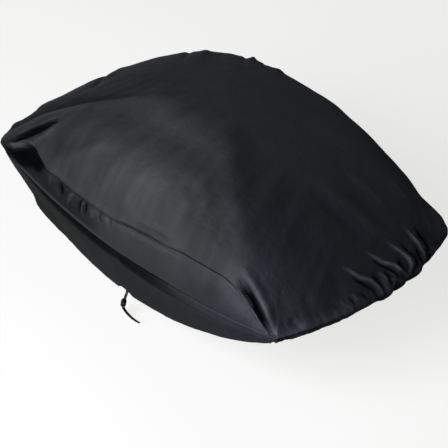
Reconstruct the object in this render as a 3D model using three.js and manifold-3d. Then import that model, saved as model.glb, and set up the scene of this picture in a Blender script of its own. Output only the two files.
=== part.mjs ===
// Fitted cover for a portable table-top grill: a coated-fabric lens-shaped hood with a drawcord hem.
// Frame: millimetres, +Z up, +X along the long side, the front (drawcord opening) faces -Y.
// Left is -X and right is +X. Origin: centre of the flat inner face of the crown, where the cover
// rests on the grill's lid. The geometry is worked out with z = 0 at the lowest point of the hem,
// and each mesh is then lowered to the origin.
import * as THREE from 'three';
import { mergeVertices } from 'three/addons/utils/BufferGeometryUtils.js';
import Module from 'manifold-3d';

const wasm = await Module();
wasm.setup();

// ---------------------------------------------------------------- hood dimensions (mm)
const HALF_LENGTH = 345; // along X, at the end ridge
const HALF_WIDTH = 227; // along Y, at the front ridge
const PLAN_BOW_X = 0.178; // how much the ends bow out in plan
const PLAN_BOW_Y = 0.28; // how much the front and rear bow out in plan
const CROWN_Z = 265.2;
// Ridge heights at the corners, mid front (and rear) and mid end
const RIDGE_CORNER_Z = 108.2;
const RIDGE_FRONT_Z = 102.2;
const RIDGE_END_Z = 106.2;
// Dome profiles: flat is the half width of the level crown patch, as a fraction of the half size
const PROFILE_X = { flat: 0.0455, power: 2.262, root: 1.05 };
const PROFILE_Y = { flat: 0.125, power: 3.416, root: 1.89 };

const HEM_CORNER_Z = 86.1;
const TUCK_CORNER = 16.0; // how far the skirt tucks in under the ridge, at the corners
const TUCK_POWER = 1.3;
// The four sides of the skirt: hemZ and tuck are the values at mid side
const FRONT = { alongX: true, sign: -1, hemZ: 0, tuck: 30.3 };
const REAR = { ...FRONT, sign: 1 };
const LEFT = { alongX: false, sign: -1, hemZ: 64.8, tuck: 32.6 };
const RIGHT = { ...LEFT, sign: 1 };

const SEAM_RISE = 42; // height of the front and rear seams above the ridge, mid span
const SEAM_MAX_RISE = 0.97; // limit on that height, as a fraction of the dome's rise
const SEAM_GAP = 0.25; // each panel's edge stands this far back from the shared seam line
const FABRIC_T = 1.6; // coated fabric with its backing
const MIN_MITRE = 0.7; // limits how far sharp creases stretch the inner face's offset

const OPENING_X = 9; // centre of the arched drawcord opening in the front hem
const OPENING_HALF = 14;
const OPENING_H = 9;

// ---------------------------------------------------------------- small helpers
const V = (x, y, z) => new THREE.Vector3(x, y, z);
const lerp = THREE.MathUtils.lerp;
const quad = (a, b, c, d) => [[a, b, c], [a, c, d]];

// Shaped stations over -1..1; an odd cell count keeps the middle cell centred
function stations(cells, shape) {
  return Array.from({ length: cells + 1 }, (_, i) => shape(-1 + (2 * i) / cells));
}

function smooth(points, steps) {
  return new THREE.CatmullRomCurve3(points, false, 'centripetal').getPoints(steps);
}

function tangentAt(points, i) {
  const next = points[Math.min(i + 1, points.length - 1)];
  return next.clone().sub(points[Math.max(i - 1, 0)]).normalize();
}

// The part of a vector square to a unit axis, at unit length
function squareTo(vector, axis) {
  return vector.clone().addScaledVector(axis, -vector.dot(axis)).normalize();
}

// ---------------------------------------------------------------- the cover's outer surface
// s and t run -1..1 along X and Y.
function ridgeZ(s, t) {
  return RIDGE_CORNER_Z
    + (RIDGE_FRONT_Z - RIDGE_CORNER_Z) * (1 - s * s) * t * t
    + (RIDGE_END_Z - RIDGE_CORNER_Z) * (1 - t * t) * s * s;
}

function profile(fraction, { flat, power, root }) {
  const fall = Math.pow(Math.max(Math.abs(fraction), flat), power);
  return Math.pow(Math.max(0, 1 - fall), 1 / root);
}

function dome(s, t) {
  const onFlat = (fraction, { flat }) => Math.abs(fraction) < flat + 1e-6;
  const base = onFlat(s, PROFILE_X) && onFlat(t, PROFILE_Y) ? RIDGE_CORNER_Z : ridgeZ(s, t);
  return V(
    HALF_LENGTH * s * Math.sqrt(1 - PLAN_BOW_X * t * t),
    HALF_WIDTH * t * Math.sqrt(1 - PLAN_BOW_Y * s * s),
    base + (CROWN_Z - base) * profile(s, PROFILE_X) * profile(t, PROFILE_Y),
  );
}
const CROWN_TOP = dome(0, 0).z;

function outward({ alongX, sign }) {
  return alongX ? V(0, sign, 0) : V(sign, 0, 0);
}

// Skirt below the ridge: u runs -1..1 along the side, drop runs 0 at the ridge to 1 at the hem
function skirt(side, u, drop) {
  const ridge = side.alongX ? dome(u, side.sign) : dome(side.sign, u);
  const middle = 1 - u * u;
  const hemZ = HEM_CORNER_Z + (side.hemZ - HEM_CORNER_Z) * middle;
  const tuck = TUCK_CORNER + (side.tuck - TUCK_CORNER) * middle;
  // the tuck turns from square to the side to towards the centre at the corners
  const turn = Math.pow(Math.abs(u), 4);
  const toCentre = V(-ridge.x, -ridge.y, 0).normalize();
  const direction = outward(side).multiplyScalar(turn - 1).addScaledVector(toCentre, turn);
  const point = ridge.clone().addScaledVector(direction, tuck * Math.pow(drop, TUCK_POWER));
  point.z = lerp(ridge.z, hemZ, drop);
  return point;
}

// Where the rear seam runs: t on the dome for a given s (the front seam mirrors it)
function seamT(s) {
  if (Math.abs(s) > 0.9999) return 1;
  const rise = SEAM_RISE * (1 - Math.pow(Math.abs(s), 4));
  const fraction = rise / ((CROWN_Z - ridgeZ(s, 1)) * profile(s, PROFILE_X));
  const fall = 1 - Math.pow(Math.min(fraction, SEAM_MAX_RISE), PROFILE_Y.root);
  return Math.pow(fall, 1 / PROFILE_Y.power);
}

// ---------------------------------------------------------------- sampling
const RIDGE_HALF_LENGTH = HALF_LENGTH * Math.sqrt(1 - PLAN_BOW_X); // to the ridge's corners
const OPENING_CLEAR_S = 0.012; // plain stations closer than this to an opening station go
const MIN_STEP_S = 0.004;

// Stations across the drawcord opening, from its left edge to its right edge
const OPENING_STATIONS = [-1.0, -0.72, -0.38, 0, 0.38, 0.72, 1.0]
  .map((v) => (OPENING_X + v * OPENING_HALF) / RIDGE_HALF_LENGTH);
const OPENING_LEFT = OPENING_STATIONS[0];
const OPENING_RIGHT = OPENING_STATIONS.at(-1);

const S_STATIONS = stations(21, (u) => 0.62 * u + 0.38 * Math.sin((u * Math.PI) / 2))
  .filter((s) => OPENING_STATIONS.every((o) => Math.abs(o - s) > OPENING_CLEAR_S))
  .concat(OPENING_STATIONS, [-PROFILE_X.flat, PROFILE_X.flat])
  .sort((a, b) => a - b)
  .filter((s, i, all) => i === 0 || s - all[i - 1] > MIN_STEP_S);
const T_STATIONS = stations(11, (u) => Math.sign(u) * (1 - Math.pow(1 - Math.abs(u), 1.35)));
// Rows between seam and ridge, and from the ridge down the skirt; all sides share the skirt rows
// so that the corner edges match
const SEAM_TO_RIDGE_ROWS = [0, 0.45, 0.8];
const SKIRT_ROWS = [0.26, 0.54, 0.8, 1.0];

// Centre panel rows [i][j]: up the left skirt, over the crown, down the right skirt; j along T
function centreRows() {
  const skirtRow = (side) => (drop) => T_STATIONS.map((t) => skirt(side, t, drop));
  return [
    ...SKIRT_ROWS.toReversed().map(skirtRow(LEFT)),
    ...S_STATIONS.map((s) => T_STATIONS.map((t) => dome(s, t * seamT(s)))),
    ...SKIRT_ROWS.map(skirtRow(RIGHT)),
  ];
}

function archRise(x) {
  const v = (x - OPENING_X) / OPENING_HALF;
  return Math.abs(v) < 1 ? OPENING_H * Math.sqrt(1 - v * v) : 0;
}

// Lifts the front hem edge into the arch of the opening
function hemPoint(side, s) {
  const point = skirt(side, s, 1);
  if (side !== FRONT) return point;
  const up = skirt(side, s, SKIRT_ROWS.at(-2)).sub(point).normalize();
  return point.addScaledVector(up, archRise(point.x));
}

// Front or rear panel rows [i][j]: i along S, j from the seam down to the hem
function sideRows(side) {
  return S_STATIONS.map((s) => [
    ...SEAM_TO_RIDGE_ROWS.map((v) => dome(s, side.sign * lerp(seamT(s), 1, v))),
    dome(s, side.sign),
    ...SKIRT_ROWS.slice(0, -1).map((drop) => skirt(side, s, drop)),
    hemPoint(side, s),
  ]);
}

// ---------------------------------------------------------------- panel grids
// Faces index the flattened rows; each cell is split along its shorter diagonal
function gridFaces(rows, flip) {
  const across = rows[0].length;
  const faces = [];
  for (let i = 0; i + 1 < rows.length; i++) {
    for (let j = 0; j + 1 < across; j++) {
      const a = i * across + j;
      const b = a + across;
      const ac = rows[i][j].distanceTo(rows[i + 1][j + 1]);
      const bd = rows[i + 1][j].distanceTo(rows[i][j + 1]);
      faces.push(...(ac < bd ? quad(a, b, b + 1, a + 1) : quad(b, b + 1, a + 1, a)));
    }
  }
  return flip ? faces.map(([a, b, c]) => [a, c, b]) : faces;
}

// inward(i, j) lists the grid points a border point moves towards to leave the seam gap
function panel(rows, flip, inward) {
  return { rows, flip, inward, points: rows.flat(), faces: gridFaces(rows, flip) };
}

function centrePanel() {
  const rows = centreRows();
  const last = rows[0].length - 1;
  return panel(rows, false, (i, j) => {
    if (j === 0) return [[i, 1]];
    return j === last ? [[i, last - 1]] : [];
  });
}

function sidePanel(side) {
  const rows = sideRows(side);
  const last = rows.length - 1;
  const ridge = SEAM_TO_RIDGE_ROWS.length;
  // at the corners the rows above the ridge meet in one point, so they all move together
  const fromEnd = (i, j) => (j <= ridge ? [[i, ridge], [i, ridge + 1]] : [[i, j]]);
  return panel(rows, side === FRONT, (i, j) => {
    if (i === 0) return fromEnd(1, j);
    if (i === last) return fromEnd(last - 1, j);
    return j === 0 ? [[i, 1]] : [];
  });
}

const panels = {
  centre_panel: centrePanel(),
  front_panel: sidePanel(FRONT),
  rear_panel: sidePanel(REAR),
};

// ---------------------------------------------------------------- shared normals
// The panels share their normals, weighted by corner angle, over the whole outer surface.
const pointKey = (p, perMm) => [p.x, p.y, p.z].map((v) => Math.round(v * perMm)).join();
const NORMAL_GRID = 200; // points within 1/200 mm share their normals
const facesAtPoint = new Map();

function addFaceNormal(a, b, c) {
  const normal = b.clone().sub(a).cross(c.clone().sub(a));
  if (normal.length() < 1e-6) return;
  normal.normalize();
  for (const [p, q, r] of [[a, b, c], [b, c, a], [c, a, b]]) {
    const angle = q.clone().sub(p).angleTo(r.clone().sub(p));
    const key = pointKey(p, NORMAL_GRID);
    if (!facesAtPoint.has(key)) facesAtPoint.set(key, []);
    facesAtPoint.get(key).push({ normal, angle });
  }
}
for (const { points, faces } of Object.values(panels)) {
  for (const face of faces) addFaceNormal(...face.map((index) => points[index]));
}

// Normal scaled so that the offset faces stay parallel
function mitre(p) {
  if (Math.abs(p.z - CROWN_TOP) < 1e-6) return V(0, 0, 1);
  const around = facesAtPoint.get(pointKey(p, NORMAL_GRID));
  const mean = V(0, 0, 0);
  for (const { normal, angle } of around) mean.addScaledVector(normal, angle);
  mean.normalize();
  const least = Math.min(1, ...around.map(({ normal }) => mean.dot(normal)));
  return mean.multiplyScalar(1 / Math.max(least, MIN_MITRE));
}

// ---------------------------------------------------------------- mesh assembly
function signedVolume(points, triangles) {
  let total = 0;
  for (const [a, b, c] of triangles) {
    total += points[a].dot(points[b].clone().cross(points[c])) / 6;
  }
  return total;
}

// Merges equal points, drops collapsed triangles and turns the faces outwards
function solid(points, triangles) {
  const merged = new Map();
  const kept = [];
  const indexOf = points.map((p) => {
    const key = pointKey(p, 1e4);
    if (!merged.has(key)) {
      merged.set(key, kept.length);
      kept.push(p);
    }
    return merged.get(key);
  });
  let faces = triangles
    .map((triangle) => triangle.map((i) => indexOf[i]))
    .filter(([a, b, c]) => a !== b && b !== c && a !== c);
  if (signedVolume(kept, faces) < 0) faces = faces.map(([a, b, c]) => [a, c, b]);
  const positions = kept.flatMap((p) => p.toArray());
  return indexedGeometry(positions, faces.flat());
}

function indexedGeometry(positions, index) {
  const geometry = new THREE.BufferGeometry();
  geometry.setAttribute('position', new THREE.Float32BufferAttribute(positions, 3));
  geometry.setIndex(index);
  return geometry;
}

// A panel: its outer grid, an inner grid one fabric thickness in, and walls round the border
function panelGeometry({ rows, points, faces, flip, inward }) {
  const across = rows[0].length;
  const count = points.length; // inner points follow the outer ones
  const outer = points.map((p, index) => {
    const away = V(0, 0, 0);
    for (const [i, j] of inward(Math.floor(index / across), index % across)) {
      away.add(rows[i][j].clone().sub(p).normalize());
    }
    return p.clone().addScaledVector(away.normalize(), SEAM_GAP);
  });
  const inner = outer.map((p, i) => p.clone().addScaledVector(mitre(points[i]), -FABRIC_T));
  const triangles = [...faces, ...faces.map(([a, b, c]) => [a + count, c + count, b + count])];
  const wall = (from, to) => {
    const innerFrom = from + count;
    const innerTo = to + count;
    triangles.push(...(flip
      ? quad(to, innerTo, innerFrom, from)
      : quad(to, from, innerFrom, innerTo)));
  };
  const lastRow = count - across;
  for (let start = 0; start < lastRow; start += across) {
    const end = start + across - 1;
    wall(start, start + across);
    wall(end + across, end);
  }
  for (let j = 0; j + 1 < across; j++) {
    wall(lastRow + j, lastRow + j + 1);
    wall(j + 1, j);
  }
  return solid([...outer, ...inner], triangles);
}

// Section points are [distance along axis1, distance along axis2] in a frame
function place(frame, [along1, along2]) {
  return frame.origin.clone()
    .addScaledVector(frame.axis1, along1)
    .addScaledVector(frame.axis2, along2);
}

// A closed section swept along frames, with flat ends
function sweep(frames, section) {
  const n = section.length;
  const points = frames.flatMap((frame) => section.map((p) => place(frame, p)));
  const triangles = [];
  for (let i = 0; i + 1 < frames.length; i++) {
    for (let k = 0; k < n; k++) {
      const here = i * n + k;
      const next = i * n + ((k + 1) % n);
      triangles.push(...quad(here, next, next + n, here + n));
    }
  }
  const contour = section.map(([x, y]) => new THREE.Vector2(x, y));
  const last = (frames.length - 1) * n;
  for (const [a, b, c] of THREE.ShapeUtils.triangulateShape(contour, [])) {
    triangles.push([a, c, b], [last + a, last + b, last + c]);
  }
  return solid(points, triangles);
}

// A hollow tube with open mouths; both sections have the same number of points
function tunnel(frames, outerSection, innerSection) {
  const n = outerSection.length;
  const sections = [...outerSection, ...innerSection];
  const points = frames.flatMap((frame) => sections.map((p) => place(frame, p)));
  const outer = (i, k) => i * 2 * n + (k % n);
  const inner = (i, k) => outer(i, k) + n;
  const end = frames.length - 1;
  const triangles = [];
  for (let k = 0; k < n; k++) {
    for (let i = 0; i < end; i++) {
      triangles.push(
        ...quad(outer(i, k), outer(i, k + 1), outer(i + 1, k + 1), outer(i + 1, k)),
        ...quad(inner(i, k), inner(i + 1, k), inner(i + 1, k + 1), inner(i, k + 1)),
      );
    }
    triangles.push(
      ...quad(outer(0, k), inner(0, k), inner(0, k + 1), outer(0, k + 1)),
      ...quad(outer(end, k), outer(end, k + 1), inner(end, k + 1), inner(end, k)),
    );
  }
  return solid(points, triangles);
}

// A round section swept along points, its frame carried on from each point to the next
function roundSweep(points, radius, sides) {
  let up = Math.abs(tangentAt(points, 0).z) < 0.9 ? V(0, 0, 1) : V(0, 1, 0);
  const frames = points.map((origin, i) => {
    const tangent = tangentAt(points, i);
    up = squareTo(up, tangent);
    return { origin, axis1: up, axis2: tangent.clone().cross(up).normalize() };
  });
  const section = Array.from({ length: sides }, (_, k) => {
    const angle = (k / sides) * 2 * Math.PI;
    return [Math.cos(angle) * radius, Math.sin(angle) * radius];
  });
  return sweep(frames, section);
}

// ---------------------------------------------------------------- seam bindings
// Bound seam allowances standing in from the front and rear seams.
const BINDING_HALF_W = 1.2;
const BINDING_DEPTH = 7.0;
const BINDING_GAP = 0.5; // between the panels' inner face and the binding
const BINDING_CORNER_CLEAR = 14;
const TANGENT_STEP = 0.004; // half span of the stations a tangent is taken over

function bindingGeometry({ sign }) {
  const onSeam = (s) => dome(s, sign * seamT(s));
  const corners = [dome(-1, sign), dome(1, sign)];
  const clear = (s) => corners.every((c) => onSeam(s).distanceTo(c) >= BINDING_CORNER_CLEAR);
  const frames = S_STATIONS.filter(clear).map((s) => {
    const point = onSeam(s);
    const offset = mitre(point);
    const inwards = offset.clone().normalize().negate();
    const tangent = onSeam(s + TANGENT_STEP).sub(onSeam(s - TANGENT_STEP)).normalize();
    return {
      origin: point.addScaledVector(inwards, FABRIC_T * offset.length() + BINDING_GAP),
      axis1: tangent.cross(inwards).normalize(),
      axis2: inwards,
    };
  });
  return sweep(frames, [
    [-BINDING_HALF_W, 0],
    [BINDING_HALF_W, 0],
    [BINDING_HALF_W, BINDING_DEPTH],
    [-BINDING_HALF_W, BINDING_DEPTH],
  ]);
}

// ---------------------------------------------------------------- hem channels (drawcord tunnels)
const CHANNEL_H = 17.0; // height up the skirt
const CHANNEL_FOOT = 0.4; // the tunnel starts this far above the hem edge
const CHANNEL_OFF = 0.6; // clearance between the panel and the tunnel
const CHANNEL_D = 5.8;
const CHANNEL_WALL = 1.2;
const CHANNEL_CHAMFER = 1.6;
const CHANNEL_NEAR = FABRIC_T + CHANNEL_OFF; // tunnel face next to the panel
const CHANNEL_FAR = CHANNEL_NEAR + CHANNEL_D;
const CORNER_CLEAR = 11; // tunnels stop this far from the corners
const END_STEP = 0.012; // least station step next to a tunnel's corner end
const OPENING_STEP = 0.02; // least station step next to the drawcord opening
const MOUTH_GAP = 0.0035; // tunnels stop just short of the opening, as a fraction of s
// The skirt twists towards the corners, so the tunnel stands a little further off there
const TWIST = { offset: 2.2, from: 0.62, to: 0.86, endShare: 0.3 };

// Frame on the outer hem edge: axis1 up the skirt, axis2 inwards
function hemFrame(side, u) {
  const origin = skirt(side, u, 1);
  let drop = 1;
  while (drop > 0.02 && skirt(side, u, drop).distanceTo(origin) < CHANNEL_H + 0.4) drop -= 0.01;
  const tangent = skirt(side, u + TANGENT_STEP, 1).sub(skirt(side, u - TANGENT_STEP, 1)).normalize();
  const up = squareTo(skirt(side, u, drop).sub(origin).normalize(), tangent);
  const inwards = tangent.clone().cross(up).normalize();
  if (inwards.dot(outward(side)) > 0) inwards.negate();
  const share = THREE.MathUtils.smoothstep(Math.abs(u), TWIST.from, TWIST.to)
    * (side.alongX ? 1 : TWIST.endShare);
  origin.addScaledVector(inwards, TWIST.offset * share);
  return { origin, axis1: up, axis2: inwards };
}

// The last station that is CORNER_CLEAR from the corner
function cornerStation(side, sign) {
  const cornerPoint = skirt(side, sign, 1);
  let u = 0.999;
  while (skirt(side, sign * u, 1).distanceTo(cornerPoint) < CORNER_CLEAR) u -= 0.001;
  return sign * u;
}

function betweenCorners(side, list) {
  const low = cornerStation(side, -1);
  const high = cornerStation(side, 1);
  return [low, ...list.filter((u) => u > low + END_STEP && u < high - END_STEP), high];
}

const hemFrames = (side, list) => list.map((u) => hemFrame(side, u));
const frontStations = betweenCorners(FRONT, S_STATIONS);
const endStations = betweenCorners(LEFT, T_STATIONS);
const channels = {
  front_left: hemFrames(FRONT, [
    ...frontStations.filter((u) => u < OPENING_LEFT - OPENING_STEP),
    OPENING_LEFT - MOUTH_GAP,
  ]),
  front_right: hemFrames(FRONT, [
    OPENING_RIGHT + MOUTH_GAP,
    ...frontStations.filter((u) => u > OPENING_RIGHT + OPENING_STEP),
  ]),
  rear: hemFrames(REAR, betweenCorners(REAR, S_STATIONS)),
  left_end: hemFrames(LEFT, endStations),
  right_end: hemFrames(RIGHT, endStations),
};

function channelGeometry(frames) {
  const chamferTop = CHANNEL_FOOT + CHANNEL_CHAMFER;
  const outerSection = [ // [up the skirt, inwards]
    [chamferTop, CHANNEL_NEAR],
    [CHANNEL_H, CHANNEL_NEAR],
    [CHANNEL_H, CHANNEL_FAR - CHANNEL_CHAMFER],
    [CHANNEL_H - CHANNEL_CHAMFER, CHANNEL_FAR],
    [chamferTop, CHANNEL_FAR],
    [CHANNEL_FOOT, CHANNEL_FAR - CHANNEL_CHAMFER],
    [CHANNEL_FOOT, CHANNEL_NEAR + CHANNEL_CHAMFER],
  ];
  // the small shifts keep the wall's thickness up across the chamfers
  const innerSection = [
    [chamferTop + 0.3, CHANNEL_NEAR + CHANNEL_WALL],
    [CHANNEL_H - CHANNEL_WALL, CHANNEL_NEAR + CHANNEL_WALL],
    [CHANNEL_H - CHANNEL_WALL, CHANNEL_FAR - CHANNEL_CHAMFER - 0.4],
    [CHANNEL_H - CHANNEL_CHAMFER - 0.6, CHANNEL_FAR - CHANNEL_WALL],
    [chamferTop + 0.3, CHANNEL_FAR - CHANNEL_WALL],
    [CHANNEL_FOOT + CHANNEL_WALL, CHANNEL_FAR - CHANNEL_CHAMFER - 0.3],
    [CHANNEL_FOOT + CHANNEL_WALL, CHANNEL_NEAR + CHANNEL_CHAMFER + 0.3],
  ];
  return tunnel(frames, outerSection, innerSection);
}

// ---------------------------------------------------------------- drawcord
const CORD_R = 0.9;
const CORD_UP = 3.1; // cord centre above the hem edge, inside the tunnel
const CORD_CORNER_BULGE = 2.2; // how far the cord stands out between two tunnels
const STRAND_OFF = 1.1; // each hanging strand's offset from the pair's centre line
const JOINT_GAP = 0.7; // cord ends and tails stop this far above and below the pivot
const MOUTH_LEAD = 1.2; // the cord leaves the tunnel mouth straight for this long

// The pivot, where the two cord ends hang from, lies below and behind the hem edge
const PIVOT_DROP = 3.0;
const PIVOT_BACK = 3.2;
const openingHem = skirt(FRONT, OPENING_X / RIDGE_HALF_LENGTH, 1);
const PIVOT = V(OPENING_X, openingHem.y + PIVOT_BACK, openingHem.z - PIVOT_DROP);
// Axes at the tail: down its straight stretch, along the lock, and across the pair of strands
const tailDown = V(-0.2697, 0, -0.963).normalize();
const lockAxis = squareTo(V(0.684, -0.729, 0), tailDown);
const strandAcross = lockAxis.clone().cross(tailDown).normalize();

const downTail = (distance) => PIVOT.clone().addScaledVector(tailDown, distance);

// From the pivot up to a tunnel mouth; sign is -1 for the left strand, 1 for the right
function cordLead(sign, mouth) {
  const start = downTail(-JOINT_GAP).addScaledVector(strandAcross, sign * STRAND_OFF);
  return smooth([
    start,
    start.clone().addScaledVector(tailDown, -1.6),
    V(lerp(start.x, mouth.x, 0.45), lerp(start.y, mouth.y, 0.6), lerp(start.z, mouth.z, 0.72)),
    mouth.clone().add(V(-sign * MOUTH_LEAD, 0, 0)),
  ], 5);
}

function drawCordGeometry() {
  const cordAt = (frame) => place(frame, [CORD_UP, (CHANNEL_NEAR + CHANNEL_FAR) / 2]);
  const roundCorner = (from, to) => {
    const out = from.origin.clone().add(to.origin).setZ(0).normalize();
    return cordAt(from).lerp(cordAt(to), 0.5).addScaledVector(out, CORD_CORNER_BULGE);
  };
  // clockwise from the left side of the opening, seen from above
  const runs = [
    channels.front_left.toReversed(),
    channels.left_end,
    channels.rear,
    channels.right_end.toReversed(),
    channels.front_right.toReversed(),
  ];
  const path = runs.flatMap((run, i) => [
    ...(i > 0 ? [roundCorner(runs[i - 1].at(-1), run[0])] : []),
    ...run.map(cordAt),
  ]);
  return roundSweep([
    ...cordLead(-1, path[0]),
    ...path,
    ...cordLead(1, path.at(-1)).reverse(),
  ], CORD_R, 6);
}

// ---------------------------------------------------------------- hanging strands
const TAIL_STATIONS = [JOINT_GAP, 6, 13, 20, 27]; // down the straight stretch
const TAIL_STRAIGHT = 31;
// [x, z] of the curled end, from the hem edge at the middle of the opening
const TAIL_CURVE = [
  [-7.9, -36.6], [-5.0, -40.0], [-0.4, -42.6], [6.2, -44.9],
  [14.0, -46.0], [22.2, -45.8], [30.2, -44.6],
];
const tailLine = [
  ...TAIL_STATIONS.map(downTail),
  ...smooth([
    downTail(TAIL_STRAIGHT),
    ...TAIL_CURVE.map(([x, z]) => V(OPENING_X + x, PIVOT.y, openingHem.z + z)),
  ], 14),
];

function tailGeometry(sign) {
  const strand = tailLine.map((p, i) => {
    const across = squareTo(strandAcross, tangentAt(tailLine, i));
    return p.clone().addScaledVector(across, sign * STRAND_OFF);
  });
  return roundSweep(strand, CORD_R, 8);
}

// ---------------------------------------------------------------- cord lock
// In its own axes: x across the strands, y along the lock, z down the cord.
const LOCK_AT = 25.5; // lock centre, down the straight stretch of the tail
const LOCK_SEGMENTS = 24;
const BARREL = {
  radius: 4.3, bore: 3.3, mouth: -4.2, mouthChamferR: 0.5, mouthChamferH: 0.6,
  floor: 5.6, end: 6.6, endR: 3.2, endChamferH: 1.3,
};
const PLUNGER = { radius: 3.05, top: -6.6, topChamferR: 0.9, topChamferH: 0.8, foot: 2.2 };
const PRESS_TRAVEL = 2.0;
const CORD_CLEAR = 0.35;
const SPRING = { radius: 1.9, wire: 0.25, turns: 3.2, endGap: 0.25, stepsPerTurn: 12, sides: 5 };

function toManifold(geometry) {
  // only positions count when merging
  geometry.deleteAttribute('normal');
  geometry.deleteAttribute('uv');
  const merged = mergeVertices(geometry, 1e-4);
  return new wasm.Manifold(new wasm.Mesh({
    numProp: 3,
    vertProperties: new Float32Array(merged.attributes.position.array),
    triVerts: new Uint32Array(merged.index.array),
  }));
}

// A turned body with a slot for both strands; the slot may reach further towards -y
function slottedTurning(outline, extraSlot) {
  const points = outline.map(([radius, y]) => new THREE.Vector2(radius, y));
  const slot = new THREE.BoxGeometry(
    2 * (STRAND_OFF + CORD_R + CORD_CLEAR),
    2 * (CORD_R + CORD_CLEAR) + extraSlot,
    3 * BARREL.radius,
  ).translate(0, -extraSlot / 2, 0);
  const body = toManifold(new THREE.LatheGeometry(points, LOCK_SEGMENTS));
  const mesh = body.subtract(toManifold(slot)).getMesh();
  return indexedGeometry(mesh.vertProperties, Array.from(mesh.triVerts));
}

function barrelGeometry() {
  const { radius, bore, mouth, floor, end } = BARREL;
  return slottedTurning([ // [radius, y]
    [0, floor],
    [bore, floor],
    [bore, mouth],
    [radius - BARREL.mouthChamferR, mouth],
    [radius, mouth + BARREL.mouthChamferH],
    [radius, end - BARREL.endChamferH],
    [BARREL.endR, end],
    [0, end],
  ], 0);
}

function plungerGeometry() {
  const { radius, top, foot } = PLUNGER;
  return slottedTurning([ // [radius, y]
    [0, top],
    [radius - PLUNGER.topChamferR, top],
    [radius, top + PLUNGER.topChamferH],
    [radius, foot],
    [0, foot],
  ], PRESS_TRAVEL);
}

// Coil between the plunger's foot and the barrel's floor
function springGeometry() {
  const { radius, wire, turns, endGap, stepsPerTurn, sides } = SPRING;
  const start = PLUNGER.foot + wire + endGap;
  const end = BARREL.floor - wire - endGap;
  const steps = Math.round(turns * stepsPerTurn);
  const points = Array.from({ length: steps + 1 }, (_, i) => {
    const angle = (i / steps) * turns * 2 * Math.PI;
    return V(radius * Math.cos(angle), lerp(start, end, i / steps), radius * Math.sin(angle));
  });
  return roundSweep(points, wire, sides);
}

// ---------------------------------------------------------------- care label
// Blank, inside the rear panel above the hem channel, leaning inwards towards its top.
const LABEL = { fromS: 0.2, toS: 0.42, low: 3, high: 25, gap: 0.9, thickness: 0.8 };
const LABEL_LOW_OFF = 0.8; // inner offsets of the outer face, beyond the gap
const LABEL_HIGH_OFF = 2.4;

function labelGeometry() {
  const inside = S_STATIONS.filter((s) => s > LABEL.fromS && s < LABEL.toS);
  const low = CHANNEL_H + LABEL.low;
  const high = CHANNEL_H + LABEL.high;
  const nearLow = FABRIC_T + LABEL.gap + LABEL_LOW_OFF;
  const nearHigh = FABRIC_T + LABEL.gap + LABEL_HIGH_OFF;
  return sweep(hemFrames(REAR, inside), [
    [low, nearLow],
    [high, nearHigh],
    [high, nearHigh + LABEL.thickness],
    [low, nearLow + LABEL.thickness],
  ]);
}

// ---------------------------------------------------------------- materials and scene graph
const FABRIC = { color: 0x26272a, roughness: 0.5, metalness: 0 };
const TAPE = { color: 0x17181a, roughness: 0.75, metalness: 0 };
const CORD = { color: 0x0d0d0e, roughness: 0.7, metalness: 0 };
const PLASTIC = { color: 0x101113, roughness: 0.45, metalness: 0 };
const STEEL = { color: 0xb9bcc0, roughness: 0.35, metalness: 0.9 };
const WHITE = { color: 0xe6e6e2, roughness: 0.7, metalness: 0 };

const group = new THREE.Group();
const SHIFT_Z = FABRIC_T - CROWN_TOP; // from the hem plane to the crown's inner face

function add(name, geometry, finish, matrix = new THREE.Matrix4()) {
  const mesh = new THREE.Mesh(geometry, new THREE.MeshStandardMaterial(finish));
  mesh.name = name;
  matrix.decompose(mesh.position, mesh.quaternion, mesh.scale);
  mesh.position.z += SHIFT_Z;
  group.add(mesh);
}

for (const [name, parts] of Object.entries(panels)) add(name, panelGeometry(parts), FABRIC);
add('front_seam_binding', bindingGeometry(FRONT), TAPE);
add('rear_seam_binding', bindingGeometry(REAR), TAPE);
for (const [place_, frames] of Object.entries(channels)) {
  add(`hem_channel_${place_}`, channelGeometry(frames), FABRIC);
}
add('draw_cord', drawCordGeometry(), CORD);
add('cord_tail_left', tailGeometry(-1), CORD);
add('cord_tail_right', tailGeometry(1), CORD);
const lockFrame = new THREE.Matrix4()
  .makeBasis(strandAcross, lockAxis, tailDown)
  .setPosition(downTail(LOCK_AT));
add('cord_lock_barrel', barrelGeometry(), PLASTIC, lockFrame);
add('cord_lock_plunger', plungerGeometry(), PLASTIC, lockFrame);
add('cord_lock_spring', springGeometry(), STEEL, lockFrame);
add('care_label', labelGeometry(), WHITE);

export default group;
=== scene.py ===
# Grill cover: a domed cloth cover with its seams, hem casings, draw cord, cord lock and care
# label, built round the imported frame. Metres, +Z up. The front faces -Y and the length runs
# along X; the crown lies just above z = 0 and the skirt hangs below it.
import itertools
import math
import bmesh
import bpy
import numpy as np
from mathutils import Matrix, Vector


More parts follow.
